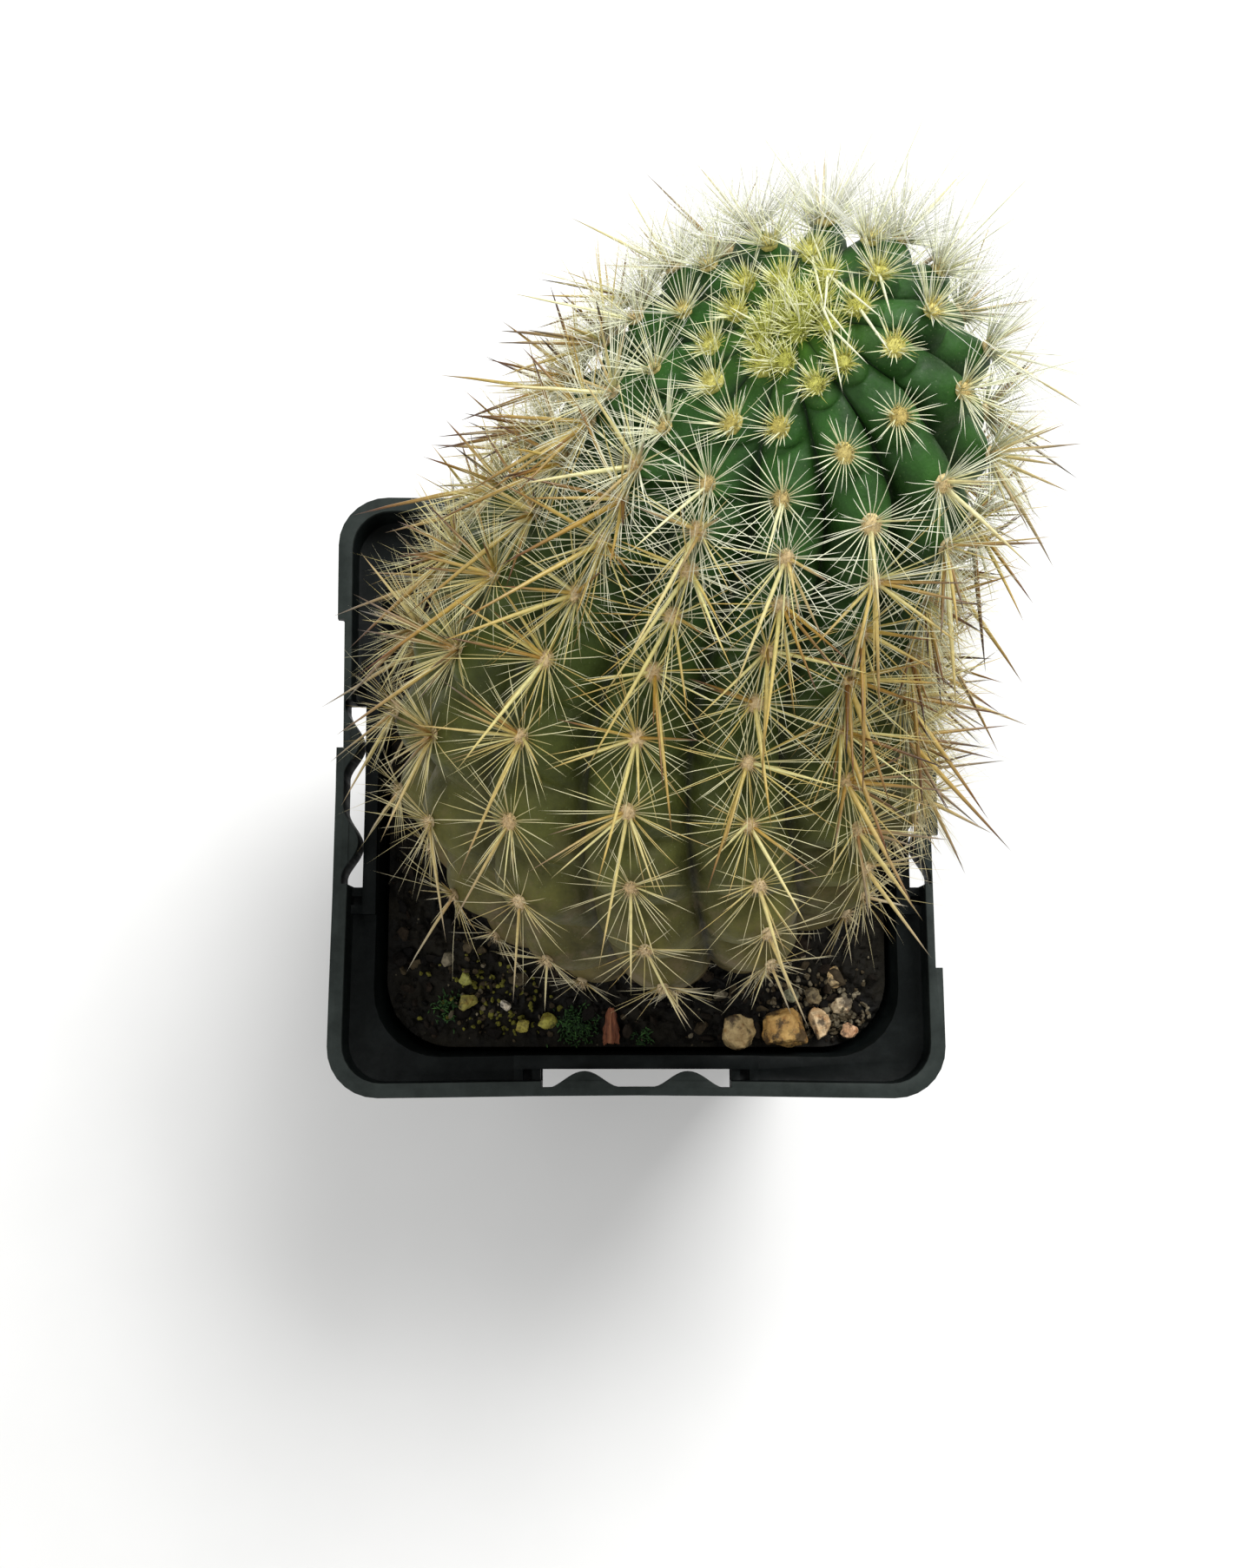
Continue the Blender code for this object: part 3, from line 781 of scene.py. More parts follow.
class CACTUS_OT_pot(bpy.types.Operator):
    """Moulds the square pot: wall, shoulder, collar, lip, slots, wavy bars and drain holes"""

    bl_idname = "cactus.pot"
    bl_label = "Pot"

    def execute(self, context):
        pot = context.scene.cactus_pot
        shoulder = pot.height - SHOULDER_DROP
        shell = self.mould_shell(pot, shoulder)
        combine(shell, self.slot_details(pot, shoulder), "UNION")
        combine(shell, self.openings(shoulder), "DIFFERENCE")
        self.cut_notches(shell, pot, shoulder)
        modify(
            shell, "BEVEL", width=pot.edge_round, segments=2, limit_method="ANGLE",
            angle_limit=math.radians(38), use_clamp_overlap=True, miter_outer="MITER_ARC",
        )
        bow_sides(shell, pot)
        smooth(shell, 32)
        place_piece(shell, plastic_finish(pot.colour, pot.height - 0.8 * MM), "pot_plastic", "pot")
        return {"FINISHED"}

    def mould_shell(self, pot, shoulder):
        """The outer solid with its stepped collar, hollowed by the cavity."""
        radius = pot.corner_radius * (pot.floor_half - 0.8 * MM) / pot.rim_half
        levels = (
            # height, half width
            (0, pot.floor_half - 0.8 * MM),
            (0.8 * MM, pot.floor_half),
            (shoulder - 9 * MM, MOUTH_HALF + pot.wall - 1.1 * MM),
            (shoulder - 1.0 * MM, MOUTH_HALF + pot.wall),
            (shoulder - 1.0 * MM, COLLAR_HALF + 0.8 * MM),
            (pot.height - 1.4 * MM, COLLAR_HALF + 1.1 * MM),
            (pot.height - 1.2 * MM, pot.rim_half),
            (pot.height, pot.rim_half - 0.05 * MM),
        )
        shell = moulded_block("pot_shell", levels[0][1], radius, levels)
        lip_inner = COLLAR_HALF - 0.1 * MM
        well = moulded_block(
            "well", COLLAR_HALF - 0.4 * MM, pot.corner_radius - 1.4 * MM,
            ((shoulder, COLLAR_HALF - 0.4 * MM), (pot.height + 2 * MM, lip_inner)),
        )
        combine(shell, well, "DIFFERENCE")
        floor_top = 1.2 * MM
        foot = pot.floor_half - pot.wall
        cavity = moulded_block(
            "cavity", foot, MOUTH_RADIUS * foot / MOUTH_HALF,
            ((floor_top, foot), (shoulder, MOUTH_HALF), (shoulder + 4 * MM, MOUTH_HALF)),
        )
        combine(shell, cavity, "DIFFERENCE")
        return shell

    def slot_details(self, pot, shoulder):
        """Beside each slot: a raised strip, two ribs across each end of the pocket, and two arches."""
        strip_top = shoulder + 1.6 * MM
        half = POCKET_LENGTH / 2
        pieces = [
            block(
                "strip", (MOUTH_HALF - 0.06 * MM, -half, shoulder - 0.4 * MM), (SLOT_INNER, half, strip_top)
            )
        ]
        for side in (-1, 1):
            for start, width, rise in ((12.5, 1.1, 1.2), (14.8, 1.15, 1.58)):
                ends = sorted((side * start * MM, side * (start + width) * MM))
                low = (SLOT_INNER - 0.5 * MM, ends[0], shoulder - 0.4 * MM)
                high = (COLLAR_HALF + 0.2 * MM, ends[1], shoulder + rise * MM)
                pieces.append(block("rib", low, high))
            pieces.append(
                wave_bump(shoulder - 0.6 * MM, pot.height - 0.15 * MM, side * WAVE_PLACE, BAR_INNER)
            )
        made = pieces[0]
        for piece in pieces[1:]:
            combine(made, piece, "UNION")
        return four_sides("slot_details", made)

    def openings(self, shoulder):
        """The slots, and eight drain holes through the floor."""
        half = SLOT_LENGTH / 2
        low = (SLOT_INNER, -half, shoulder - 3 * MM)
        high = (BAR_INNER, half, shoulder + SHOULDER_DROP + 2 * MM)
        slot = block("slot", low, high)
        for side in (-1, 1):
            arch = wave_bump(shoulder - 4 * MM, shoulder + 9 * MM, side * WAVE_PLACE, BAR_INNER)
            combine(slot, arch, "DIFFERENCE")
        pieces = [slot]
        for x, y in DRAIN_PLACES:
            deselect_all()
            bpy.ops.mesh.primitive_cylinder_add(
                vertices=32, radius=DRAIN_RADIUS, depth=8 * MM, location=(x * MM, y * MM, 0)
            )
            pieces.append(added("drain"))
        return four_sides("openings", join("side_openings", pieces))

    def cut_notches(self, shell, pot, shoulder):
        """A shallow step in the lip at one end of two opposite sides."""
        low = (pot.rim_half - NOTCH_DEPTH, NOTCH_ENDS[0], shoulder - 4 * MM)
        high = (pot.rim_half + 2 * MM, NOTCH_ENDS[1], pot.height + 2 * MM)
        notch = block("notch", low, high)
        combine(shell, join("notches", [notch, turned_copy(notch, 2)]), "DIFFERENCE")


# ---------------------------------------------------------------- soil


def inside_outline(x, y, half, radius, spare=0.0):
    """Whether a point is within a rounded square."""
    dx = max(abs(x) - (half - radius), 0)
    dy = max(abs(y) - (half - radius), 0)
    return math.hypot(dx, dy) < radius - spare


def fallen(ground, x, y):
    """Where something dropped at x, y comes to rest on the soil's top."""
    return ground.ray_cast(Vector((x, y, DROP_FROM)), Vector((0, 0, -1)))[0]


def tumbled(rng):
    """A turn to a random side."""
    return Euler([rng.uniform(0, FULL_TURN) for _ in range(3)]).to_matrix()


class CACTUS_OT_soil(bpy.types.Operator):
    """Fills the pot with crumbly soil and strews crumbs, fibres and moss on it"""

    bl_idname = "cactus.soil"
    bl_label = "Soil"

    def execute(self, context):
        soil = context.scene.cactus_soil
        top = self.make_top(soil)
        ground = BVHTree.FromObject(top, context.evaluated_depsgraph_get())
        place_piece(top, soil_finish(soil.colour), "soil", "soil")
        self.strew_crumbs(soil, ground)
        self.grow_moss(ground)
        self.lay_fibres(ground)
        return {"FINISHED"}

    def make_top(self, soil):
        half = SOIL_HIGH.x - SOIL_GAP
        radius = MOUTH_RADIUS
        deselect_all()
        bpy.ops.mesh.primitive_grid_add(
            x_subdivisions=soil.divisions, y_subdivisions=soil.divisions, size=2 * half,
            location=(0, 0, soil.level),
        )
        top = added("soil_top")
        reach = half - radius
        for vert in top.data.vertices:
            dx, dy = abs(vert.co.x) - reach, abs(vert.co.y) - reach
            if dx > 0 and dy > 0:
                pull = max(dx, dy) / math.hypot(dx, dy)
                vert.co.x = math.copysign(reach + dx * pull, vert.co.x)
                vert.co.y = math.copysign(reach + dy * pull, vert.co.y)
        lumps = vertex_group(top, "lumps", lambda co: min((half - max(abs(co.x), abs(co.y))) / (1.2 * MM), 1))
        for size, strength, depth in ((6.0, 2.4, 1), (1.9, 2.6, 2), (0.75, 1.3, 1)):
            texture = clouds(f"lumps_{size}", size * MM, depth)
            roughen(top, texture, strength * MM, direction="Z", vertex_group=lumps)
        with shaping(top):
            bpy.ops.mesh.select_mode(type="EDGE")
            bpy.ops.mesh.select_all(action="DESELECT")
            bpy.ops.mesh.select_non_manifold()
            bpy.ops.mesh.extrude_region_move(TRANSFORM_OT_translate={"value": (0, 0, -6 * MM)})
            bpy.ops.transform.resize(value=(0.95, 0.95, 1), center_override=(0, 0, 0))
            bpy.ops.mesh.edge_face_add()
        smooth(top, 60)
        return top

    def strew_crumbs(self, soil, ground):
        """Angular crumbs, from dust to bark chips, that lie on the soil."""
        rng = random.Random(11)
        crumb = angular_lump("crumb", 5, rng)
        half = SOIL_HIGH.x
        heap = Copies(crumb)
        while len(heap) < soil.crumbs:
            x, y = rng.uniform(-half, half), rng.uniform(-half, half)
            if not inside_outline(x, y, half, MOUTH_RADIUS, 1.2 * MM):
                continue
            hit = fallen(ground, x, y)
            size = (0.45 + 1.9 * rng.random() ** 3) * MM
            turn = tumbled(rng)
            shape = Matrix.Diagonal((size * rng.uniform(0.7, 1.7), size, size * rng.uniform(0.4, 0.8)))
            near_stones = x > 16 * MM and y < -22 * MM
            tint = rng.random() ** (0.8 if near_stones else 1.2)
            heap.add(turn @ shape, hit + Vector((0, 0, size * 0.2)), tint=tint)
        patches = (
            # centre, spread, crumbs, palest share of the colours, share of mossy yellow
            (27, -29.0, 3.0, 230, 0.90, 0.0),
            (21, -26.5, 4.0, 130, 0.88, 0.0),
            (-19, -27, 6.0, 170, 0.84, 0.6),
        )
        for x, y, spread, count, low, mossy in patches:
            for _ in range(count):
                px, py = rng.gauss(x, spread * 0.6) * MM, rng.gauss(y, spread * 0.6) * MM
                if not inside_outline(px, py, half, MOUTH_RADIUS, 1.2 * MM):
                    continue
                hit = fallen(ground, px, py)
                size = rng.uniform(0.35, 0.95) * MM
                turn = tumbled(rng)
                shape = Matrix.Diagonal((size * 1.2, size, size * 0.8))
                heap.add(
                    turn @ shape, hit + Vector((0, 0, size * 0.3)), age=float(rng.random() < mossy),
                    tint=rng.uniform(low, 1.0),
                )
        crumbs = heap.build("soil_crumbs")
        smooth(crumbs, 30)
        place_piece(crumbs, crumb_finish(), "soil")

    def grow_moss(self, ground):
        """A tuft of tiny leaves near the front edge, and a few by the left side."""
        rng = random.Random(5)
        leaf = tapered_spine("moss_leaf", 3, ((0, 0.6), (0.4, 1.0), (1, 0.0)))
        tuft = Copies(leaf)
        for x, y, spread, count in ((-8, -30.5, 2.6, 380), (-25, -28, 2.0, 110), (1, -32, 1.4, 60)):
            for _ in range(count):
                px, py = rng.gauss(x, spread * 0.5) * MM, max(rng.gauss(y, spread * 0.45), -33) * MM
                hit = fallen(ground, px, py)
                way = Vector((rng.gauss(0, 0.6), rng.gauss(0, 0.6), 1)).normalized()
                tuft.add_along(hit, way, rng.uniform(0.6, 1.6) * MM, 0.30 * MM, tint=rng.random())
        place_piece(tuft.build("moss"), moss_finish(), "soil")

    def lay_fibres(self, ground):
        """Thin curved coir fibres and root hairs."""
        rng = random.Random(23)
        hair = tapered_spine("fibre", 3, ((0, 0.6), (0.2, 1), (0.4, 1), (0.6, 0.9), (0.8, 0.7), (1, 0.1)))
        fibres = Copies(hair)
        half = SOIL_HIGH.x - 3 * MM
        for _ in range(150):
            x, y = rng.uniform(-half, half), rng.uniform(-half, half)
            if not inside_outline(x, y, SOIL_HIGH.x, MOUTH_RADIUS, 2 * MM):
                continue
            hit = fallen(ground, x, y) + Vector((0, 0, 0.3 * MM))
            turn = rng.uniform(0, FULL_TURN)
            way = Vector((math.cos(turn), math.sin(turn), rng.uniform(-0.05, 0.15))).normalized()
            length = rng.uniform(1.5, 5) * MM
            if not inside_outline(*(hit + way * length).xy, SOIL_HIGH.x, MOUTH_RADIUS, 1 * MM):
                continue
            bend = Vector((-way.y, way.x, 0)) * rng.uniform(-0.35, 0.35) * length
            fibres.add_along(hit, way, length, 0.09 * MM, bend=bend, tint=rng.uniform(0.6, 0.93))
        place_piece(fibres.build("soil_fibres"), crumb_finish(), "soil")


def vertex_group(obj, name, weight):
    """A vertex group whose weights come from the vertices' places."""
    group = obj.vertex_groups.new(name=name)
    for vert in obj.data.vertices:
        group.add([vert.index], max(0.0, weight(vert.co)), "REPLACE")
    return name


def angular_lump(name, facets, rng, detail=1):
    """A ball about one unit across, with flat facets sliced off it."""
    deselect_all()
    bpy.ops.mesh.primitive_ico_sphere_add(subdivisions=detail, radius=0.54)
    lump = added(name)
    with shaping(lump):
        for _ in range(facets):
            way = Vector((rng.gauss(0, 1), rng.gauss(0, 1), rng.gauss(0, 1))).normalized()
            bpy.ops.mesh.select_all(action="SELECT")
            bpy.ops.mesh.bisect(
                plane_co=way * rng.uniform(0.26, 0.44), plane_no=way, use_fill=True, clear_outer=True
            )
        bpy.ops.mesh.select_all(action="SELECT")
        bpy.ops.mesh.normals_make_consistent(inside=False)
    return lump


# ---------------------------------------------------------------- loose stones and bark


def fit_to_node(obj, node):
    """Scales and moves a unit lump in its mesh, so that it fills a CAD node's box."""
    low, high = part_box(node)
    points = np.array([vert.co for vert in obj.data.vertices])
    start, end = points.min(0), points.max(0)
    for vert, point in zip(obj.data.vertices, points):
        share = (point - start) / (end - start)
        vert.co = Vector(a + (b - a) * s for a, b, s in zip(low, high, share))


class CACTUS_OT_gravel(bpy.types.Operator):
    """Shapes each loose stone and grain that lies on the soil"""

    bl_idname = "cactus.gravel"
    bl_label = "Stones and grains"

    def execute(self, context):
        for node, (slot, facets, softness, dark, pale, seed) in GRAVEL.items():
            rng = random.Random(seed)
            stone = angular_lump("loose_" + node, facets, rng, detail=2)
            modify(stone, "REMESH", mode="VOXEL", voxel_size=0.034)
            modify(stone, "SMOOTH", factor=0.6, iterations=softness)
            roughen(stone, clouds("dents_" + node, 0.4), 0.12)
            roughen(stone, clouds("grain_" + node, 0.09, 3), 0.045)
            fit_to_node(stone, node)
            smooth(stone, 50)
            place_piece(stone, stone_finish(node, dark, pale), slot, node)
        return {"FINISHED"}


class CACTUS_OT_bark(bpy.types.Operator):
    """Shapes the reddish bark flake: arched, ragged and split at its front end"""

    bl_idname = "cactus.bark"
    bl_label = "Bark flake"

    def execute(self, context):
        low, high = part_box("bark_flake")
        flake = block("loose_bark", (-0.5, -0.5, -0.5), (0.5, 0.5, 0.5))
        with shaping(flake):
            bpy.ops.mesh.subdivide(number_cuts=24)
        for vert in flake.data.vertices:
            x, y, z = vert.co
            narrow = 1 - 0.55 * (y + 0.5) ** 2 + 0.25 * noise(Vector((y * 5, 2, z)))
            split = 0.16 * max(0, -y - 0.1) * (1 if x > 0 else -1)
            arch = 0.3 * math.cos(x * 2.2) * math.cos(y * 2)
            ragged = 0.10 * noise(Vector((x * 9, y * 4, 1)))
            vert.co = Vector((x * narrow + split, y + ragged, z * 0.45 + arch + 0.12 * noise(vert.co * 5)))
        fit_to_node(flake, "bark_flake")
        for vert in flake.data.vertices:
            vert.co.y = high.y + (vert.co.y - high.y) * min(1, (high.y - BARK_FRONT) / (high.y - low.y))
        smooth(flake, 45)
        place_piece(flake, bark_finish(), "bark", "bark_flake")
        return {"FINISHED"}


# ---------------------------------------------------------------- copies of small shapes


def tapered_spine(name, sides, stations):
    """A thin tapering rod one unit long, up from the origin. Stations are heights and widths."""
    deselect_all()
    bpy.ops.mesh.primitive_circle_add(
        vertices=sides, radius=stations[0][1], fill_type="NGON", location=(0, 0, stations[0][0])
    )
    rod = added(name)
    height, width = stations[0]
    with shaping(rod):
        bpy.ops.mesh.select_mode(type="FACE")
        bpy.ops.mesh.select_all(action="SELECT")
        for level, wide in stations[1:]:
            bpy.ops.mesh.extrude_region_move(TRANSFORM_OT_translate={"value": (0, 0, level - height)})
            if wide:
                share = wide / width
                bpy.ops.transform.resize(value=(share, share, 1), center_override=(0, 0, level))
                width = wide
            else:
                bpy.ops.mesh.merge(type="CENTER")
            height = level
        bpy.ops.mesh.select_all(action="SELECT")
        bpy.ops.mesh.normals_make_consistent(inside=False)
    return rod


class Copies:
    """Many copies of one modelled shape, each placed and coloured, gathered in one mesh."""

    def __init__(self, model):
        mesh = model.data
        self.points = np.array([vert.co for vert in mesh.vertices])
        self.faces = [tuple(face.vertices) for face in mesh.polygons]
        self.along = np.clip(self.points[:, 2], 0, 1)
        self.placed = []
        self.values = {"age": [], "tint": [], "along": []}
        bpy.data.objects.remove(model)

    def __len__(self):
        return len(self.placed)

    def _keep(self, points, age, tint):
        self.placed.append(points)
        self.values["age"].append(np.full(len(points), age))
        self.values["tint"].append(np.full(len(points), tint))
        self.values["along"].append(self.along)

    def add(self, turn, place, age=0.0, tint=0.5):
        self._keep(self.points @ np.array(turn).T + np.array(place), age, tint)

    def add_along(self, root, way, length, width, bend=(0, 0, 0), age=0.0, tint=0.5):
        """A copy that runs from root along way, widened to width and bent sideways towards its tip."""
        across = way.orthogonal().normalized()
        other = way.cross(across)
        flat = self.points[:, :1] * np.array(across) + self.points[:, 1:2] * np.array(other)
        line = self.points[:, 2:] * np.array(way) * length
        bow = self.points[:, 2:] ** 2 * np.array(bend)
        self._keep(np.array(root) + flat * width / 2 + line + bow, age, tint)

    def build(self, name):
        count = len(self.points)
        faces = [
            tuple(corner + number * count for corner in face)
            for number in range(len(self.placed))
            for face in self.faces
        ]
        mesh = bpy.data.meshes.new(name)
        mesh.from_pydata(np.concatenate(self.placed), [], faces)
        for key, values in self.values.items():
            layer = mesh.attributes.new(key, "FLOAT", "POINT")
            layer.data.foreach_set("value", np.concatenate(values).astype(np.float32))
        made = bpy.data.objects.new(name, mesh)
        bpy.context.scene.collection.objects.link(made)
        mesh.shade_smooth()
        return made


# ---------------------------------------------------------------- stem


class StemShape:
    """The ribbed, leaning body as a surface: at runs from 0 at the soil to 1 at the growing tip."""

    def __init__(self, stem, steps=900):
        self.stem = stem
        self.at = np.linspace(0, 1, steps + 1)
        right = np.radians(through(LEAN_STATIONS, LEAN_RIGHT, self.at))
        away = np.radians(through(LEAN_STATIONS, LEAN_AWAY, self.at))
        lean = np.hypot(right, away)
        ways = np.stack([np.sin(lean) * right / lean, np.sin(lean) * away / lean, np.cos(lean)], 1)
        halfway = (ways[1:] + ways[:-1]) / 2 * stem.length / steps
        self.centre = np.array(STEM_BASE) + np.vstack([np.zeros(3), np.cumsum(halfway, 0)])
        left = np.array([-1.0, 0, 0]) + ways * ways[:, :1]
        self.left = left / np.linalg.norm(left, axis=1, keepdims=True)
        self.near = np.cross(ways, self.left)
        self.way = ways
        dome = np.sqrt(np.clip(1 - self.at**2, 0, 1))
        sides = [r / math.sqrt(1 - s * s) for r, s in zip(RADII, RADIUS_STATIONS)]
        self.crest = through(RADIUS_STATIONS, sides, self.at) * dome * MM
        walked = np.hypot(np.diff(self.crest), stem.length / steps)
        self.arc = np.concatenate([np.cumsum(walked[::-1])[::-1], [0.0]])
        crowded = CROWN_ROWS * np.exp(-self.arc / CROWN_REACH)
        self.rows = self.arc / stem.areole_pitch - crowded

    def table(self, values, at):
        if values.ndim == 1:
            return np.interp(at, self.at, values)
        return np.stack([np.interp(at, self.at, column) for column in values.T], -1)

    def at_arc(self, arc):
        """The station at a distance along the skin from the tip."""
        return np.interp(arc, self.arc[::-1], self.at[::-1])

    def at_row(self, row):
        return float(np.interp(row, self.rows[::-1], self.at[::-1]))

    def angle(self, at, rib):
        return FIRST_RIB + RIB_TURN * at + 2 * np.pi * rib / RIBS

    def surface(self, at, angle, ribbed=True):
        """Points on the skin, and how near each is to a rib's crest (1) or to a furrow (0)."""
        crest = self.table(self.crest, at)
        centre, left, near = (self.table(v, at) for v in (self.centre, self.left, self.near))
        place = (angle - FIRST_RIB - RIB_TURN * at) * RIBS / (2 * np.pi)
        rib = np.round(place)
        across = np.clip(np.abs(2 * (place - rib)), 0, 1)
        drop = 0.55 * across**2 + 0.45 * (1 - np.sqrt(1 - across**2))
        youth = np.clip((at - 0.62) / 0.38, 0, 1)
        radius = crest
        if ribbed:
            stagger = np.array(STAGGER)[rib.astype(int) % RIBS]
            phase = self.table(self.rows, at) - stagger - 0.10
            gap = np.abs(2 * (phase - np.round(phase)))
            swelling = 1 - 2 * gap**1.7
            old = np.clip((0.55 - at) / 0.45, 0, 1)
            depth = self.stem.rib_depth * (1 + 0.40 * youth - 0.62 * old)
            tubercle = self.stem.tubercle * (1 + 1.5 * youth + 0.8 * old)
            radius = crest * (1 - depth * drop + tubercle * swelling * (1 - drop))
        tuck = BASE_TUCK * np.clip(1 - at / TUCK_END, 0, 1) ** 1.2 * np.clip(np.sin(angle), 0, 1)
        radius = radius - tuck
        reach = radius[..., None] * (np.cos(angle)[..., None] * left + np.sin(angle)[..., None] * near)
        return centre + reach, 1 - drop

    def areoles(self):
        """Every areole: its rib, station, place, and the ways out of, down and across the skin."""
        found = []
        lowest = float(self.rows.min())
        for rib in range(RIBS):
            for number in range(-1, 18):
                row = number + STAGGER[rib]
                if row < lowest + 0.10 or row > self.rows[0] - 0.15:
                    continue
                found.append(Areole(self, rib, row))
        return found


class Areole:
    """A spot on a rib's crest that spines grow from: its place, its age and the ways round it."""

    def __init__(self, shape, rib, row):
        self.at = shape.at_row(row)
        steps = np.clip(np.array([self.at, self.at + 0.008, self.at - 0.008]), 0.0, 0.9995)
        angles = shape.angle(steps, rib)
        skin, _ = shape.surface(steps, angles)
        bare, _ = shape.surface(steps, angles, ribbed=False)
        self.place = Vector(skin[0])
        self.down = Vector(bare[2] - bare[1]).normalized()
        axis = Vector(shape.table(shape.way, np.array([self.at]))[0])
        spread = Vector(bare[0] - shape.table(shape.centre, steps[:1])[0])
        self.across = spread.cross(self.down).normalized()
        self.out = self.down.cross(self.across)
        if self.out.dot(spread + axis * 5 * MM) < 0:
            self.out = -self.out
        self.arc = float(shape.table(shape.arc, np.array([self.at]))[0])
        self.age = min(self.arc / float(shape.arc[0]), 1.0)

    def way(self, turn, lift):
        """A direction turn round the areole from its lower side, lifted off the skin."""
        flat = math.cos(turn) * self.down + math.sin(turn) * self.across
        return (math.cos(lift) * flat + math.sin(lift) * self.out).normalized()


class CACTUS_OT_stem(bpy.types.Operator):
    """Shapes the ribbed, leaning stem"""

    bl_idname = "cactus.stem"
    bl_label = "Stem"

    def execute(self, context):
        stem = context.scene.cactus_stem
        shape = StemShape(stem)
        deselect_all()
        bpy.ops.mesh.primitive_uv_sphere_add(
            segments=RIBS * stem.steps_per_rib, ring_count=stem.rows, radius=1, calc_uvs=False
        )
        body = added("stem_body")
        ball = np.array([vert.co for vert in body.data.vertices])
        share = np.arccos(np.clip(ball[:, 2], -1, 1)) / np.pi
        turn = np.arctan2(ball[:, 1], ball[:, 0])
        neck_start = 0.95
        neck = np.clip((share - neck_start) / (1 - neck_start), 0, 1)
        at = shape.at_arc(np.clip(share / neck_start, 0, 1) * shape.arc[0])
        skin, crest = shape.surface(at, FIRST_RIB + RIB_TURN * at - turn)
        foot = np.array(STEM_BASE) - np.array([0, 0, NECK_DEPTH])
        skin = skin + (foot - skin) * (neck[:, None] ** 1.5)
        body.data.vertices.foreach_set("co", skin.ravel())
        for name, values in (("age", self.ages(shape, at)), ("crest", crest)):
            layer = body.data.attributes.new(name, "FLOAT", "POINT")
            layer.data.foreach_set("value", values.astype(np.float32))
        for size, strength in ((14.0, 0.9), (2.6, 0.28)):
            roughen(body, clouds(f"unevenness_{size}", size * MM), strength * MM)
        with shaping(body):
            bpy.ops.mesh.normals_make_consistent(inside=False)
        body.data.shade_smooth()
        place_piece(body, flesh_finish(), "stem", "stem")
        return {"FINISHED"}

    def ages(self, shape, at):
        """How old the skin is at these stations: 0 at the tip and 1 at the soil."""
        return shape.table(shape.arc, at) / shape.arc[0]


# ---------------------------------------------------------------- spines and wool


def clear_of_pot(point):
    """Whether a point is clear of the soil and of the pot's wall and collar."""
    if point.z < SOIL_HIGH.z + 0.2 * MM:
        return False
    return point.z > POT_HIGH.z + 1 * MM or max(abs(point.x), abs(point.y)) < MOUTH_HALF - 0.8 * MM


def fitted(root, way, length, out):
    """The direction and length a spine can have without meeting the pot, or None."""
    for lift in (0.0, 0.25, 0.5, 0.8):
        turned = (way + out * lift + Vector((0, 0, lift * 0.6))).normalized()
        for share in (1.0, 0.85, 0.7):
            if all(clear_of_pot(root + turned * length * share * part) for part in (0.5, 0.8, 1.0)):
                return turned, length * share
    return None


def eased(value, low, high):
    """0 below low, 1 above high, and a smooth rise between them."""
    share = min(max((value - low) / (high - low), 0), 1)
    return share * share * (3 - 2 * share)


class CACTUS_OT_radials(bpy.types.Operator):
    """Sets the star of fine spines round each areole"""

    bl_idname = "cactus.radials"
    bl_label = "Fine spines"

    def execute(self, context):
        spines = context.scene.cactus_spines
        rng = random.Random(41)
        needle = tapered_spine("needle", 3, ((0, 1.0), (0.35, 0.85), (0.72, 0.55), (1, 0)))
        fine = tapered_spine("hair_needle", 3, ((0, 1.0), (0.55, 0.8), (1, 0)))
        stars, haze = Copies(needle), Copies(fine)
        for areole in StemShape(context.scene.cactus_stem).areoles():
            grown = eased(areole.arc, 6 * MM, 27 * MM)
            old = eased(areole.age, 0.50, 0.85)
            last = eased(areole.age, 0.80, 0.93)
            back = eased(areole.out.y + 0.5 * areole.out.x, 0.1, 0.75)
            outer = eased(areole.arc, 3 * MM, 10 * MM) * max(back, 0.6 * eased(abs(areole.out.x), 0.4, 0.9))
            count = round(spines.radials * (0.8 + 0.2 * grown) * (1 - 0.50 * old))
            length = spines.radial_length * (0.38 + 0.66 * grown) * (1 - 0.16 * old - 0.30 * last)
            self.ring(stars, areole, count, length, 52 - 33 * grown, spines.radial_width, 0.0, rng)
            count = round(spines.haze * outer * (1 - old))
            reach = spines.radial_length * (1.15 + 0.50 * back)
            # The white share grows towards the back, the side the key lamp shines from: partly the hairs'
            # pale colour, partly painted light.
            self.ring(haze, areole, count, reach, 46, 0.56 * spines.radial_width, back, rng)
        finish = radial_finish()
        place_piece(stars.build("fine_spines"), finish, "stem")
        place_piece(haze.build("hair_spines"), finish, "stem")
        return {"FINISHED"}

    def ring(self, copies, areole, count, length, lift, width, white, rng):
        """A star of spines round one areole; a share of them, towards the back, are white, partly their own
        pale colour and partly painted light for the lamp shining through them from behind.
        """
        start = rng.uniform(0, FULL_TURN)
        palest = 0.5 * (1 - eased(areole.age, 0.25, 0.5))
        for number in range(count):
            turn = start + 2 * math.pi * (number + rng.uniform(-0.35, 0.35)) / count
            rise = math.radians(rng.gauss(lift, 8 + 10 * white))
            root = areole.place + areole.way(turn, 0.3) * rng.uniform(0.35, 0.8) * MM
            own = length * (0.86 + 0.14 * abs(math.sin(turn))) * rng.uniform(0.68, 1.16)
            found = fitted(root, areole.way(turn, rise), own, areole.out)
            if not found:
                continue
            bend = areole.way(turn + QUARTER_TURN, 0) * own * rng.uniform(-0.07, 0.07)
            bend -= areole.out * own * rng.uniform(0.0, 0.10)
            copies.add_along(
                root, found[0], found[1], width * rng.uniform(0.8, 1.2), bend=bend,
                age=areole.age + rng.uniform(-0.03, 0.03),
                tint=1.0 if rng.random() < white else rng.uniform(palest, 0.94),
            )


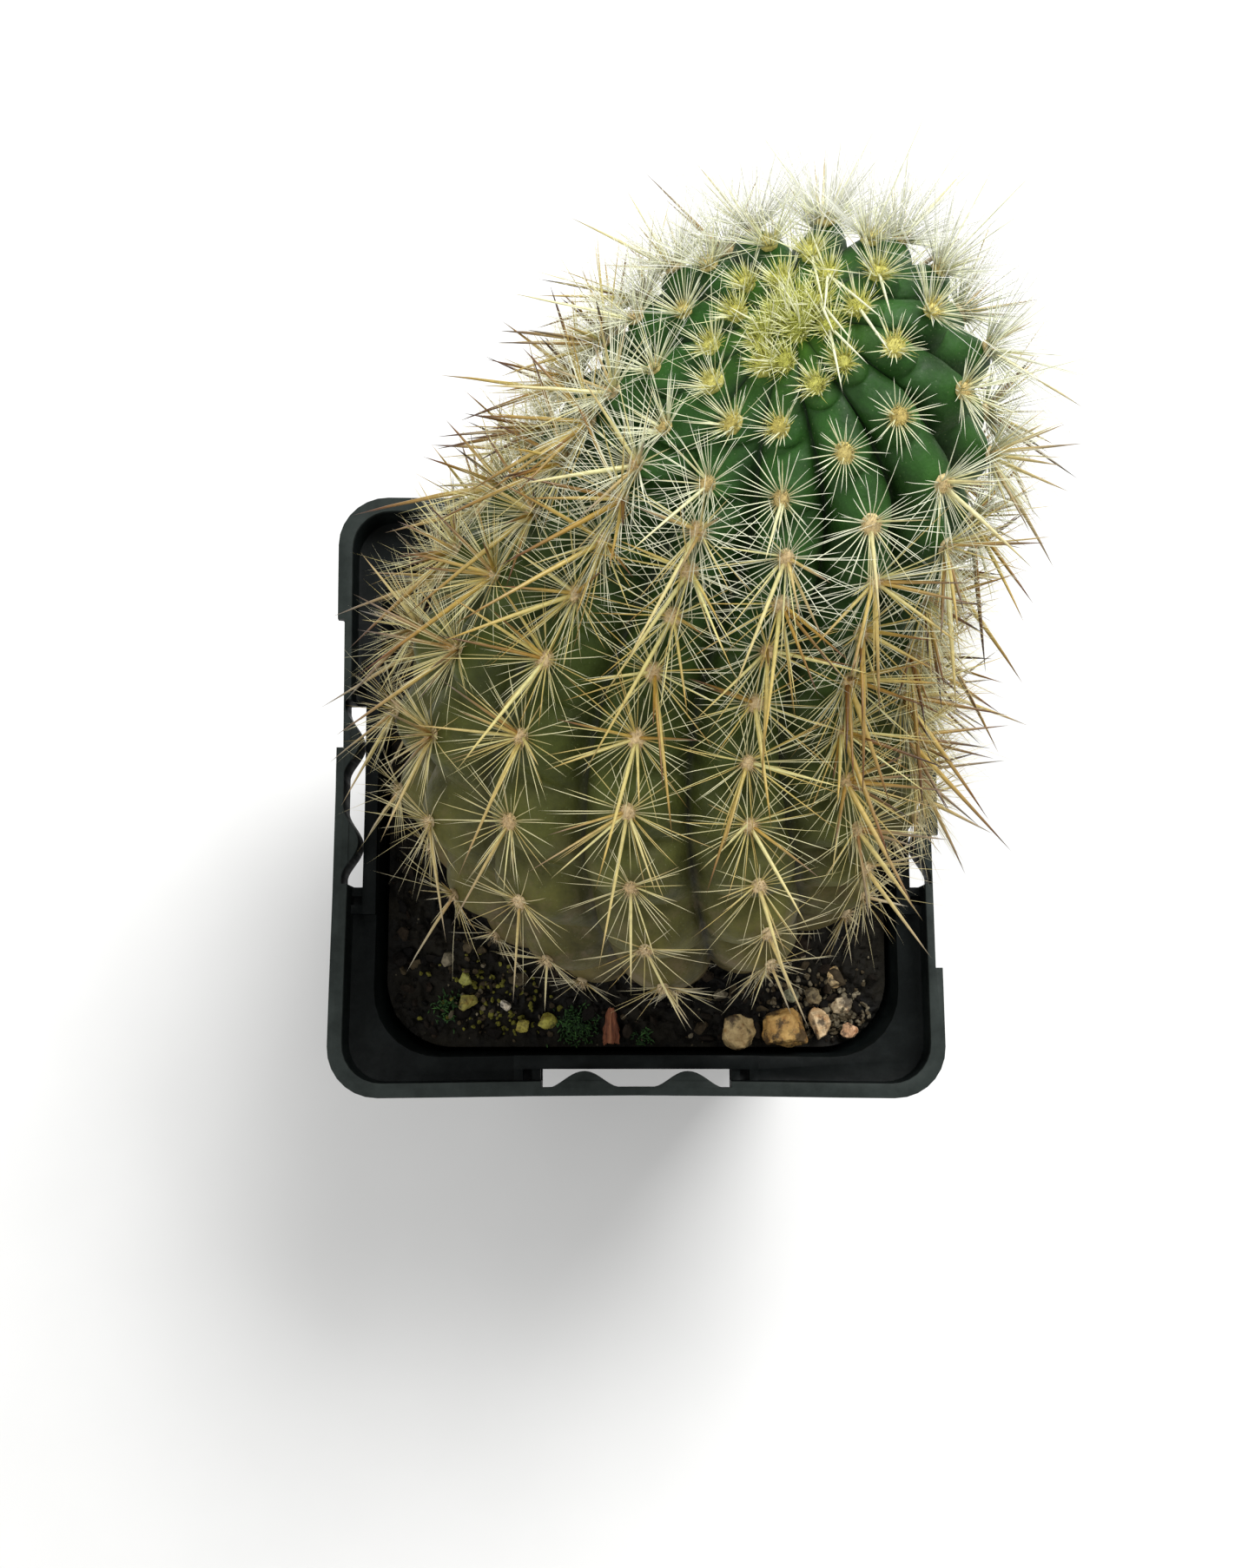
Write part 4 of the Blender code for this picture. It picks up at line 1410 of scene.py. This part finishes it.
class CACTUS_OT_centrals(bpy.types.Operator):
    """Sets the few strong spines of each areole, the lowest one longest"""

    bl_idname = "cactus.centrals"
    bl_label = "Strong spines"

    def execute(self, context):
        spines = context.scene.cactus_spines
        rng = random.Random(77)
        spike = tapered_spine("spike", 6, ((0, 1.15), (0.06, 0.95), (0.4, 0.8), (0.75, 0.45), (1, 0)))
        strong = Copies(spike)
        shape = StemShape(context.scene.cactus_stem)
        apex = Vector(shape.centre[-1])
        for areole in shape.areoles():
            young = 1 - eased(areole.arc, 13 * MM, 29 * MM)
            old = eased(areole.age, 0.50, 0.82)
            last = eased(areole.age, 0.78, 0.92)
            side = eased(abs(areole.out.x + 0.15), 0.25, 0.8) * (1 - young)
            self.add_young(strong, areole, apex, spines, rng)
            for number in range(self.count(young, old, last, rng) + round(2 * side * (1 - old))):
                lowest = number == 0
                turn = rng.gauss(0, 0.34) if lowest else rng.choice((-1, 1)) * rng.uniform(0.5, 2.7)
                lift = math.radians(rng.gauss(38 if lowest else 46, 10) + 22 * young)
                share = 1.0 if lowest else rng.uniform(0.45, 0.80)
                length = spines.central_length * share * (1 - 0.45 * young) * (1 - 0.26 * old - 0.46 * last)
                length *= rng.uniform(0.80, 1.15)
                root = areole.place + areole.out * 0.2 * MM + areole.way(turn, 0) * 0.3 * MM
                found = fitted(root, areole.way(turn, lift), length, areole.out)
                if not found:
                    continue
                width = spines.central_width * (1.0 if lowest else 0.76)
                width *= (1 - 0.3 * young) * (1 - 0.32 * old) * (1 + 0.35 * side)
                bend = (areole.down * 0.05 - areole.out * 0.05) * length * rng.uniform(-0.2, 1)
                brown = rng.random() * (0.50 if lowest else 0.85) + side * rng.uniform(0.1, 0.6)
                brown *= 1 - 0.8 * young
                strong.add_along(
                    root, found[0], found[1], width, bend=bend, age=areole.age, tint=min(brown, 1.0),
                )
            count = round(spines.intermediates * (1 + 0.7 * side) * (1 - 0.82 * old) * (1 - 0.75 * young))
            self.add_intermediates(strong, areole, spines, count, young, old, rng)
        place_piece(strong.build("strong_spines"), central_finish(), "stem")
        return {"FINISHED"}

    def add_intermediates(self, strong, areole, spines, count, young, old, rng):
        """Thinner spines than the strong ones, that lean out all round."""
        for _ in range(count):
            turn = rng.uniform(0, FULL_TURN)
            lift = math.radians(rng.gauss(33, 10) + 25 * young)
            length = spines.radial_length * rng.uniform(0.9, 1.45) * (1 - 0.55 * young) * (1 - 0.4 * old)
            root = areole.place + areole.way(turn, 0.2) * 0.4 * MM
            found = fitted(root, areole.way(turn, lift), length, areole.out)
            if found:
                bend = areole.out * length * rng.uniform(-0.08, 0.03)
                strong.add_along(
                    root, found[0], found[1], spines.central_width * rng.uniform(0.28, 0.46), bend=bend,
                    age=areole.age, tint=rng.random() * 0.42 * (1 - young),
                )

    def add_young(self, strong, areole, apex, spines, rng):
        """Pale spines of the crown: fine ones at its back, and a stout bundle that leans to the front."""
        if not 2.5 * MM < areole.arc < 22 * MM:
            return
        for _ in range(round(5 * eased(areole.out.x + 0.7 * areole.out.y, 0.35, 1.0))):
            way = areole.way(rng.uniform(0, FULL_TURN), math.radians(rng.gauss(62, 14)))
            length = spines.central_length * rng.uniform(0.55, 0.95)
            width = spines.central_width * rng.uniform(0.22, 0.42)
            strong.add_along(areole.place, way, length, width, age=0.0, tint=rng.uniform(0, 0.2))
        away = areole.place - apex
        if areole.arc > 9 * MM or away.x < 0.5 * MM or away.y < -1.5 * MM:
            return
        for _ in range(2):
            way = Vector((rng.gauss(0.12, 0.16), -0.76, rng.gauss(0.66, 0.12))).normalized()
            length = spines.central_length * rng.uniform(0.50, 0.78)
            root = areole.place + areole.out * 0.3 * MM
            width = 0.66 * spines.central_width
            strong.add_along(root, way, length, width, age=0.0, tint=rng.uniform(0, 0.2))

    def count(self, young, old, last, rng):
        """How many strong spines an areole has: none at the tip, most on the body and few at the base."""
        if last > 0.4:
            return rng.choice((0, 1))
        if young > 0.5:
            return 0 if young > 0.85 else 1
        return rng.choice((3, 4, 5)) if old < 0.5 else rng.choice((1, 1, 2))


class CACTUS_OT_wool(bpy.types.Operator):
    """Sets a felted pad with short woolly hairs on each areole"""

    bl_idname = "cactus.wool"
    bl_label = "Areole wool"

    def execute(self, context):
        spines = context.scene.cactus_spines
        areoles = StemShape(context.scene.cactus_stem).areoles()
        finish = felt_finish()
        place_piece(self.pads(areoles), finish, "stem")
        place_piece(self.hairs(areoles, spines.wool), finish, "stem")
        return {"FINISHED"}

    def pads(self, areoles):
        """A low uneven cushion on each areole."""
        rng = random.Random(3)
        deselect_all()
        bpy.ops.mesh.primitive_uv_sphere_add(segments=8, ring_count=5, radius=1, calc_uvs=False)
        cushions = Copies(added("pad"))
        for areole in areoles:
            young = 1 - eased(areole.arc, 3 * MM, 16 * MM)
            old = eased(areole.age, 0.6, 0.95)
            wide = (0.95 + 0.10 * young - 0.25 * old) * rng.uniform(0.85, 1.15) * MM
            long = wide * rng.uniform(1.0, 1.3)
            high = (0.55 + 0.30 * young) * MM
            shape = Matrix([areole.across * wide, areole.down * long, areole.out * high]).transposed()
            place = areole.place + areole.out * 0.1 * MM
            cushions.add(shape, place, age=areole.age, tint=rng.uniform(0.2, 0.8))
        return cushions.build("areole_pads")

    def hairs(self, areoles, count):
        """Short curled hairs that stand out of each cushion."""
        rng = random.Random(9)
        hair = tapered_spine("hair", 3, ((0, 1.0), (0.5, 0.8), (1, 0)))
        wool = Copies(hair)
        for areole in areoles:
            young = 1 - eased(areole.arc, 3 * MM, 16 * MM)
            for _ in range(round(count * (1 + 1.4 * young))):
                turn = rng.uniform(0, FULL_TURN)
                lift = rng.uniform(0.35, 1.5)
                start = rng.uniform(0.0, 0.95) * (1 - 0.35 * areole.age) * MM
                root = areole.place + areole.way(turn, 0) * start + areole.out * 0.25 * MM
                length = rng.uniform(0.6, 1.25) * (1 + 1.0 * young) * MM
                curl = areole.way(turn + rng.uniform(1, 2), 0.2) * length * rng.uniform(-0.5, 0.5)
                wool.add_along(
                    root, areole.way(turn, lift), length, 0.10 * MM, bend=curl, age=areole.age,
                    tint=rng.uniform(0.25, 1),
                )
        return wool.build("areole_hairs")


# ---------------------------------------------------------------- panel and registering


class CACTUS_PT_panel(bpy.types.Panel):
    bl_idname = "CACTUS_PT_panel"
    bl_label = "Potted round cactus"
    bl_space_type = "VIEW_3D"
    bl_region_type = "UI"
    bl_category = "Cactus"

    def draw(self, context):
        for name, settings in SETTINGS.items():
            group = self.layout.box()
            group.label(text=name.replace("_", " ").capitalize())
            for value in settings.__annotations__:
                group.prop(getattr(context.scene, name), value)
        for operator in OPERATORS:
            self.layout.operator(operator.bl_idname)


SETTINGS = {
    "cactus_stage": StageSettings,
    "cactus_pot": PotSettings,
    "cactus_soil": SoilSettings,
    "cactus_stem": StemSettings,
    "cactus_spines": SpineSettings,
}
OPERATORS = (
    CACTUS_OT_stage,
    CACTUS_OT_pot,
    CACTUS_OT_soil,
    CACTUS_OT_gravel,
    CACTUS_OT_bark,
    CACTUS_OT_stem,
    CACTUS_OT_radials,
    CACTUS_OT_centrals,
    CACTUS_OT_wool,
)


def register():
    for item in (*SETTINGS.values(), *OPERATORS, CACTUS_PT_panel):
        bpy.utils.register_class(item)
    for name, settings in SETTINGS.items():
        setattr(bpy.types.Scene, name, PointerProperty(type=settings))


def unregister():
    for name in SETTINGS:
        delattr(bpy.types.Scene, name)
    for item in reversed((*SETTINGS.values(), *OPERATORS, CACTUS_PT_panel)):
        bpy.utils.unregister_class(item)


def main():
    register()
    bpy.ops.cactus.stage()
    bpy.ops.cactus.pot()
    bpy.ops.cactus.soil()
    bpy.ops.cactus.gravel()
    bpy.ops.cactus.bark()
    bpy.ops.cactus.stem()
    bpy.ops.cactus.radials()
    bpy.ops.cactus.centrals()
    bpy.ops.cactus.wool()


if __name__ == "__main__":
    main()
